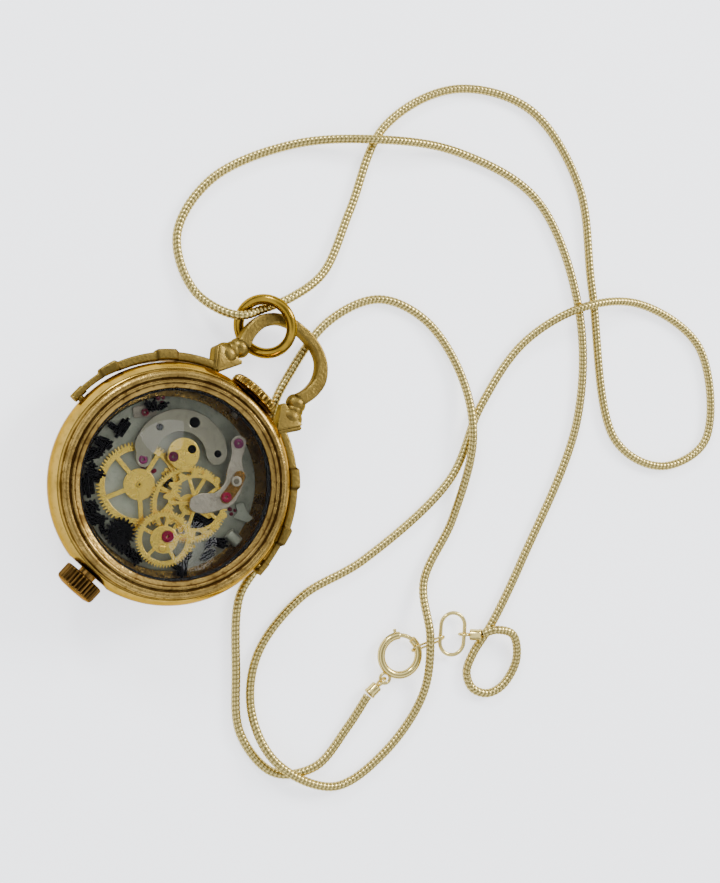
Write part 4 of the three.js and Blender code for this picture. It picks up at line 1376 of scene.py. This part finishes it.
@dataclass
class Necklace:
    """The snake chain with its end caps, spring ring clasp and oval connector.

    Args:
        fittings: the pieces at the chain's ends.
        chain: the chain.
        path: the chain's centre line, in metres.
    """

    fittings: list[bpy.types.Object] = field(default_factory=list)
    chain: bpy.types.Object | None = None
    path: np.ndarray = field(default_factory=lambda: np.zeros((0, 3)))

    def build(self) -> None:
        """Builds the chain first and then the pieces at its ends."""
        self.lay_chain()
        self.clasp()
        self.end_cap("chain_cap_a", (43.2, 0.6, 1.0), (0.08, 1, 0))
        self.end_cap("chain_cap_b", (48.4, 14.2, 1.0), (-0.68, -0.6, -0.42))
        self.connector()

    def lay_chain(self) -> None:
        """The snake chain: a round tube whose plates make slanting ridges.

        With u = s / pitch + slant |w|, where s is the distance along the chain and w runs from
        -1 to 1 over each half of its girth, the radius is R (1 - depth ridge(u)), and ridge is
        the raised cosine (1 + cos 2 pi u) / 2 to a power, which makes narrow grooves.
        """
        pitch, slant, depth, sides = 0.62, 0.35, 0.1, 12
        path, s = evenly(spline(np.asarray(CHAIN_ROUTE) / MM, 60), 5200)
        girth = np.linspace(0, TURN, sides, endpoint=False)
        w = np.abs(np.mod(girth / math.pi, 1) * 2 - 1)
        u = s[:, None] / pitch + slant * w[None]
        ridge = (0.5 + 0.5 * np.cos(TURN * u)) ** 1.5
        radius = CHAIN_RADIUS * (1 - depth * ridge)
        section = radius[..., None] * np.stack([np.cos(girth), np.sin(girth)], 1)
        # painted shade: the narrow gaps between the plates are darkened as shade
        shell = Shell().add(carried(path, section), 0.85 * ridge)
        self.chain = shell.piece("snake_chain", "necklace", CHAIN_GOLD, ["chain"], sharp=80)
        self.path = path[::8] * MM

    def end_cap(self, node: str, eye_at: Sequence[float], heading: Sequence[float]) -> None:
        """A turned cap over the chain's end, with an eye of wire ahead of it.

        Args:
            node: the CAD node it stands for.
            eye_at: the middle of its eye.
            heading: the direction from the chain to the eye.
        """
        ahead = unit(np.asarray(heading, float))
        side = unit(np.cross(ahead, [0, 0, 1.0]))
        basis = np.stack([side, ahead, np.cross(side, ahead)], 1)
        steps = np.array([-2.55, -2.5, -2.3, -2.1, -0.9, -0.8, -0.76])
        size = np.array([0.8, 0.88, 0.9, 0.82, 0.82, 0.7, 0.4])
        path = np.column_stack([0 * steps, steps, 0 * steps])
        barrel = carried(path, size[:, None, None] * circle(1, 28))
        eye = wire_loop(0.75, 0.75, 0.2, 36, 10) @ turn_matrix(90, "Y").T
        shell = Shell().add(barrel @ basis.T + eye_at).add(eye @ basis.T + eye_at, along=True, caps=False)
        self.fittings.append(shell.piece(node + "_cup", "necklace", CHAIN_GOLD, [node]))

    def clasp(self) -> None:
        """The spring ring: a fat tube with a gap, a bolt that closes it, a thumb knob and an eyelet."""
        centre = np.array([42.75, 5.3, 1.0])
        radius, first, last, steps = 2.9, 134, 454, 150
        angle = np.linspace(first, last, steps)
        mouth = smoothstep(0, 3, angle - first) * smoothstep(0, 3, last - angle)
        path = arc(radius, first, last, steps)
        section = (0.5 + 0.06 * mouth)[:, None, None] * circle(1, 24)
        # painted shade: a dark stripe on the outer side stands for the shaded slot in which the bolt's knob
        # runs
        dark = smoothstep(142, 145, angle) * (1 - smoothstep(172, 175, angle))
        slot = dark[:, None] * smoothstep(0.82, 0.95, circle(1, 24)[None, :, 0])
        shell = Shell().add(carried(path, section) + centre, slot)
        eyelet = (wire_loop(0.75, 0.75, 0.22, 36, 12) + [4.0, 0, 0]) @ turn_matrix(-82, "Z").T
        shell.add(eyelet + centre, along=True, caps=False)
        self.fittings.append(shell.piece("clasp_ring", "necklace", CHAIN_GOLD, ["clasp_body"]))
        bolt = Shell().add(carried(arc(radius, 97, 160, 40), circle(0.31, 16)) + centre)
        r = np.array([3.05, 3.8, 3.9, 3.95])
        girth = np.array([0.2, 0.25, 0.25, 0.12])[:, None, None] * circle(1, 18)
        knob = carried(np.column_stack([r, 0 * r, 0 * r]), girth)
        bolt.add(knob @ turn_matrix(146, "Z").T + centre)
        bolt.piece("clasp_bolt_knob", "bolt", CHAIN_GOLD, ["clasp_bolt"])

    def connector(self) -> None:
        """The oval ring of round wire and the leaning link that ties it to the clasp."""
        ring = wire_loop(3.1, 1.9, 0.28) @ turn_matrix(-51, "Z").T + [46.9, 13.0, 1.0]
        leaning = wire_loop(2.63, 0.92, 0.16, 48, 10) @ turn_matrix(60, "X").T
        link = leaning @ turn_matrix(61.7, "Z").T + [44.97, 9.42, 1.0]
        for name, grid, node in (
            ("connector_oval", ring, "connector_ring"),
            ("connector_loop", link, "connector_link"),
        ):
            shell = Shell().add(grid, along=True, caps=False)
            self.fittings.append(shell.piece(name, "necklace", CHAIN_GOLD, [node]))

    def dress(self) -> None:
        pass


# ---------------------------------------------------------------- room, light and camera


@dataclass(frozen=True)
class Lamp:
    """A soft round lamp that faces the watch.

    Args:
        name: the lamp's name.
        at: where it hangs, in metres.
        size: its diameter, in metres.
        power: its power, in watts.
        colour: its colour.
    """

    name: str
    at: tuple[float, float, float]
    size: float
    power: float
    colour: Colour = (1.0, 1.0, 1.0)

    def build(self) -> None:
        """Makes the lamp and turns it to the watch."""
        light = bpy.data.lights.new(self.name, "AREA")
        light.shape, light.size = "DISK", self.size
        light.energy, light.color = self.power, self.colour
        lamp = bpy.data.objects.new(self.name, light)
        look = unit(np.asarray(self.at, float) - [0.01, 0.015, 0])
        side = unit(np.cross([0.3, 1, 0.1], look))
        basis = np.eye(4)
        basis[:3, :3] = np.stack([side, np.cross(look, side), look], 1)
        basis[:3, 3] = self.at
        lamp.matrix_world = Matrix(basis.tolist())
        bpy.context.scene.collection.objects.link(lamp)


@dataclass
class Room:
    """The pale floor, the soft light and the camera.

    Args:
        lamps: the lamps.
        eye: where the camera is, in millimetres.
        target: what it looks at, in millimetres.
        right: the direction of the picture's right-hand side.
        focus: its focal length, in millimetres.
    """

    lamps: tuple[Lamp, ...] = (
        Lamp("key", (0.2, 0.6, 0.36), 0.26, 4.5, (1.0, 0.985, 0.96)),
        Lamp("window", (-0.42, 0.22, 0.3), 0.14, 1.6, (0.95, 0.98, 1.0)),
        Lamp("pane", (0.029, 0.068, 0.4), 0.034, 0.025, (0.96, 0.98, 1.0)),
    )

    eye: tuple[float, float, float] = (-31.1, -21.6, 192.6)
    target: tuple[float, float, float] = (17.07, 23.99, 0.0)
    right: tuple[float, float, float] = (0.687, 0.6497, 0.3256)
    focus: float = 57.08

    def camera(self) -> None:
        """Stands the camera about 20 cm above the watch, a little to its lower left."""
        eye = np.array(self.eye) * MM
        back = unit(eye - np.array(self.target) * MM)
        right = unit(np.array(self.right))
        lens = bpy.data.cameras.new("camera")
        lens.lens, lens.sensor_width = self.focus, 36.0
        lens.clip_start, lens.clip_end = 0.005, 10.0
        camera = bpy.data.objects.new("camera", lens)
        basis = np.eye(4)
        up = unit(np.cross(back, right))
        basis[:3, :3] = np.stack([np.cross(up, back), up, back], 1)
        basis[:3, 3] = eye
        camera.matrix_world = Matrix(basis.tolist())
        bpy.context.scene.collection.objects.link(camera)
        bpy.context.scene.camera = camera

    def build(self) -> None:
        """Lays the floor, hangs the lamps and lights the sky."""
        self.floor()
        for lamp in self.lamps:
            lamp.build()
        self.sky()

    def floor(self) -> None:
        """A sheet of white paper that glows a little, and more towards the camera."""
        mesh = bpy.data.meshes.new("floor")
        corners = np.array([(-1, -1, 0), (1, -1, 0), (1, 1, 0), (-1, 1, 0)]) * 1.5
        mesh.from_pydata(corners, [], [(0, 1, 2, 3)])
        floor = bpy.data.objects.new("floor", mesh)
        paper, nodes, links = blank_material("paper")
        shader = nodes["Principled BSDF"]
        shader.inputs["Base Color"].default_value = (0.9, 0.91, 0.94, 1)
        shader.inputs["Roughness"].default_value = 0.9
        shader.inputs["Emission Color"].default_value = (0.95, 0.96, 1.0, 1)
        rays, glow = nodes.new("ShaderNodeLightPath"), nodes.new("ShaderNodeMapRange")
        glow.inputs["To Min"].default_value, glow.inputs["To Max"].default_value = 0.6, 1.5
        links.new(rays.outputs["Is Camera Ray"], glow.inputs["Value"])
        links.new(glow.outputs["Result"], shader.inputs["Emission Strength"])
        mesh.materials.append(paper)
        bpy.context.scene.collection.objects.link(floor)

    def sky(self) -> None:
        """A soft sky, brightest a little above the middle of its height."""
        world = bpy.data.worlds.new("sky")
        world.use_nodes = True
        nodes, links = world.node_tree.nodes, world.node_tree.links
        sky = nodes["Background"]
        sky.inputs["Color"].default_value = (0.93, 0.95, 1.0, 1)
        place, split = nodes.new("ShaderNodeTexCoord"), nodes.new("ShaderNodeSeparateXYZ")
        rise = nodes.new("ShaderNodeFloatCurve")
        bend = rise.mapping.curves[0].points
        bend[0].location, bend[1].location = (0.0, 0.1), (1.0, 0.22)
        for at in ((0.25, 0.22), (0.5, 0.8), (0.78, 0.85), (0.92, 0.3)):
            bend.new(*at)
        rise.mapping.update()
        gain = nodes.new("ShaderNodeMath")
        gain.operation = "MULTIPLY"
        gain.inputs[1].default_value = 2.1
        links.new(place.outputs["Generated"], split.inputs["Vector"])
        links.new(split.outputs["Z"], rise.inputs["Value"])
        links.new(rise.outputs["Value"], gain.inputs[0])
        links.new(gain.outputs["Value"], sky.inputs["Strength"])
        bpy.context.scene.world = world


def main() -> None:
    """Builds the scene: camera, necklace, bail, case and the parts under its glass, then the room."""
    logging.basicConfig(level=logging.INFO, format="%(name)s: %(message)s")
    room, necklace = Room(), Necklace()
    room.camera()
    parts = (
        necklace,
        JumpRing(),
        Bail(),
        CaseShell(),
        Crown("crown_top", "top_crown", Side.PLUS, 3.7, 16.2, 17.7, 30, CASE_GOLD),
        Crown("crown_bottom", "bottom_crown", Side.MINUS, 2.9, 16.7, 19.3, 30, COPPER_GOLD),
        Movement(),
    )
    for part in parts:
        part.build()
        part.dress()
        log.info("built %s", type(part).__name__)
    room.build()


if __name__ == "__main__":
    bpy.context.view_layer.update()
    main()
    bpy.context.view_layer.update()
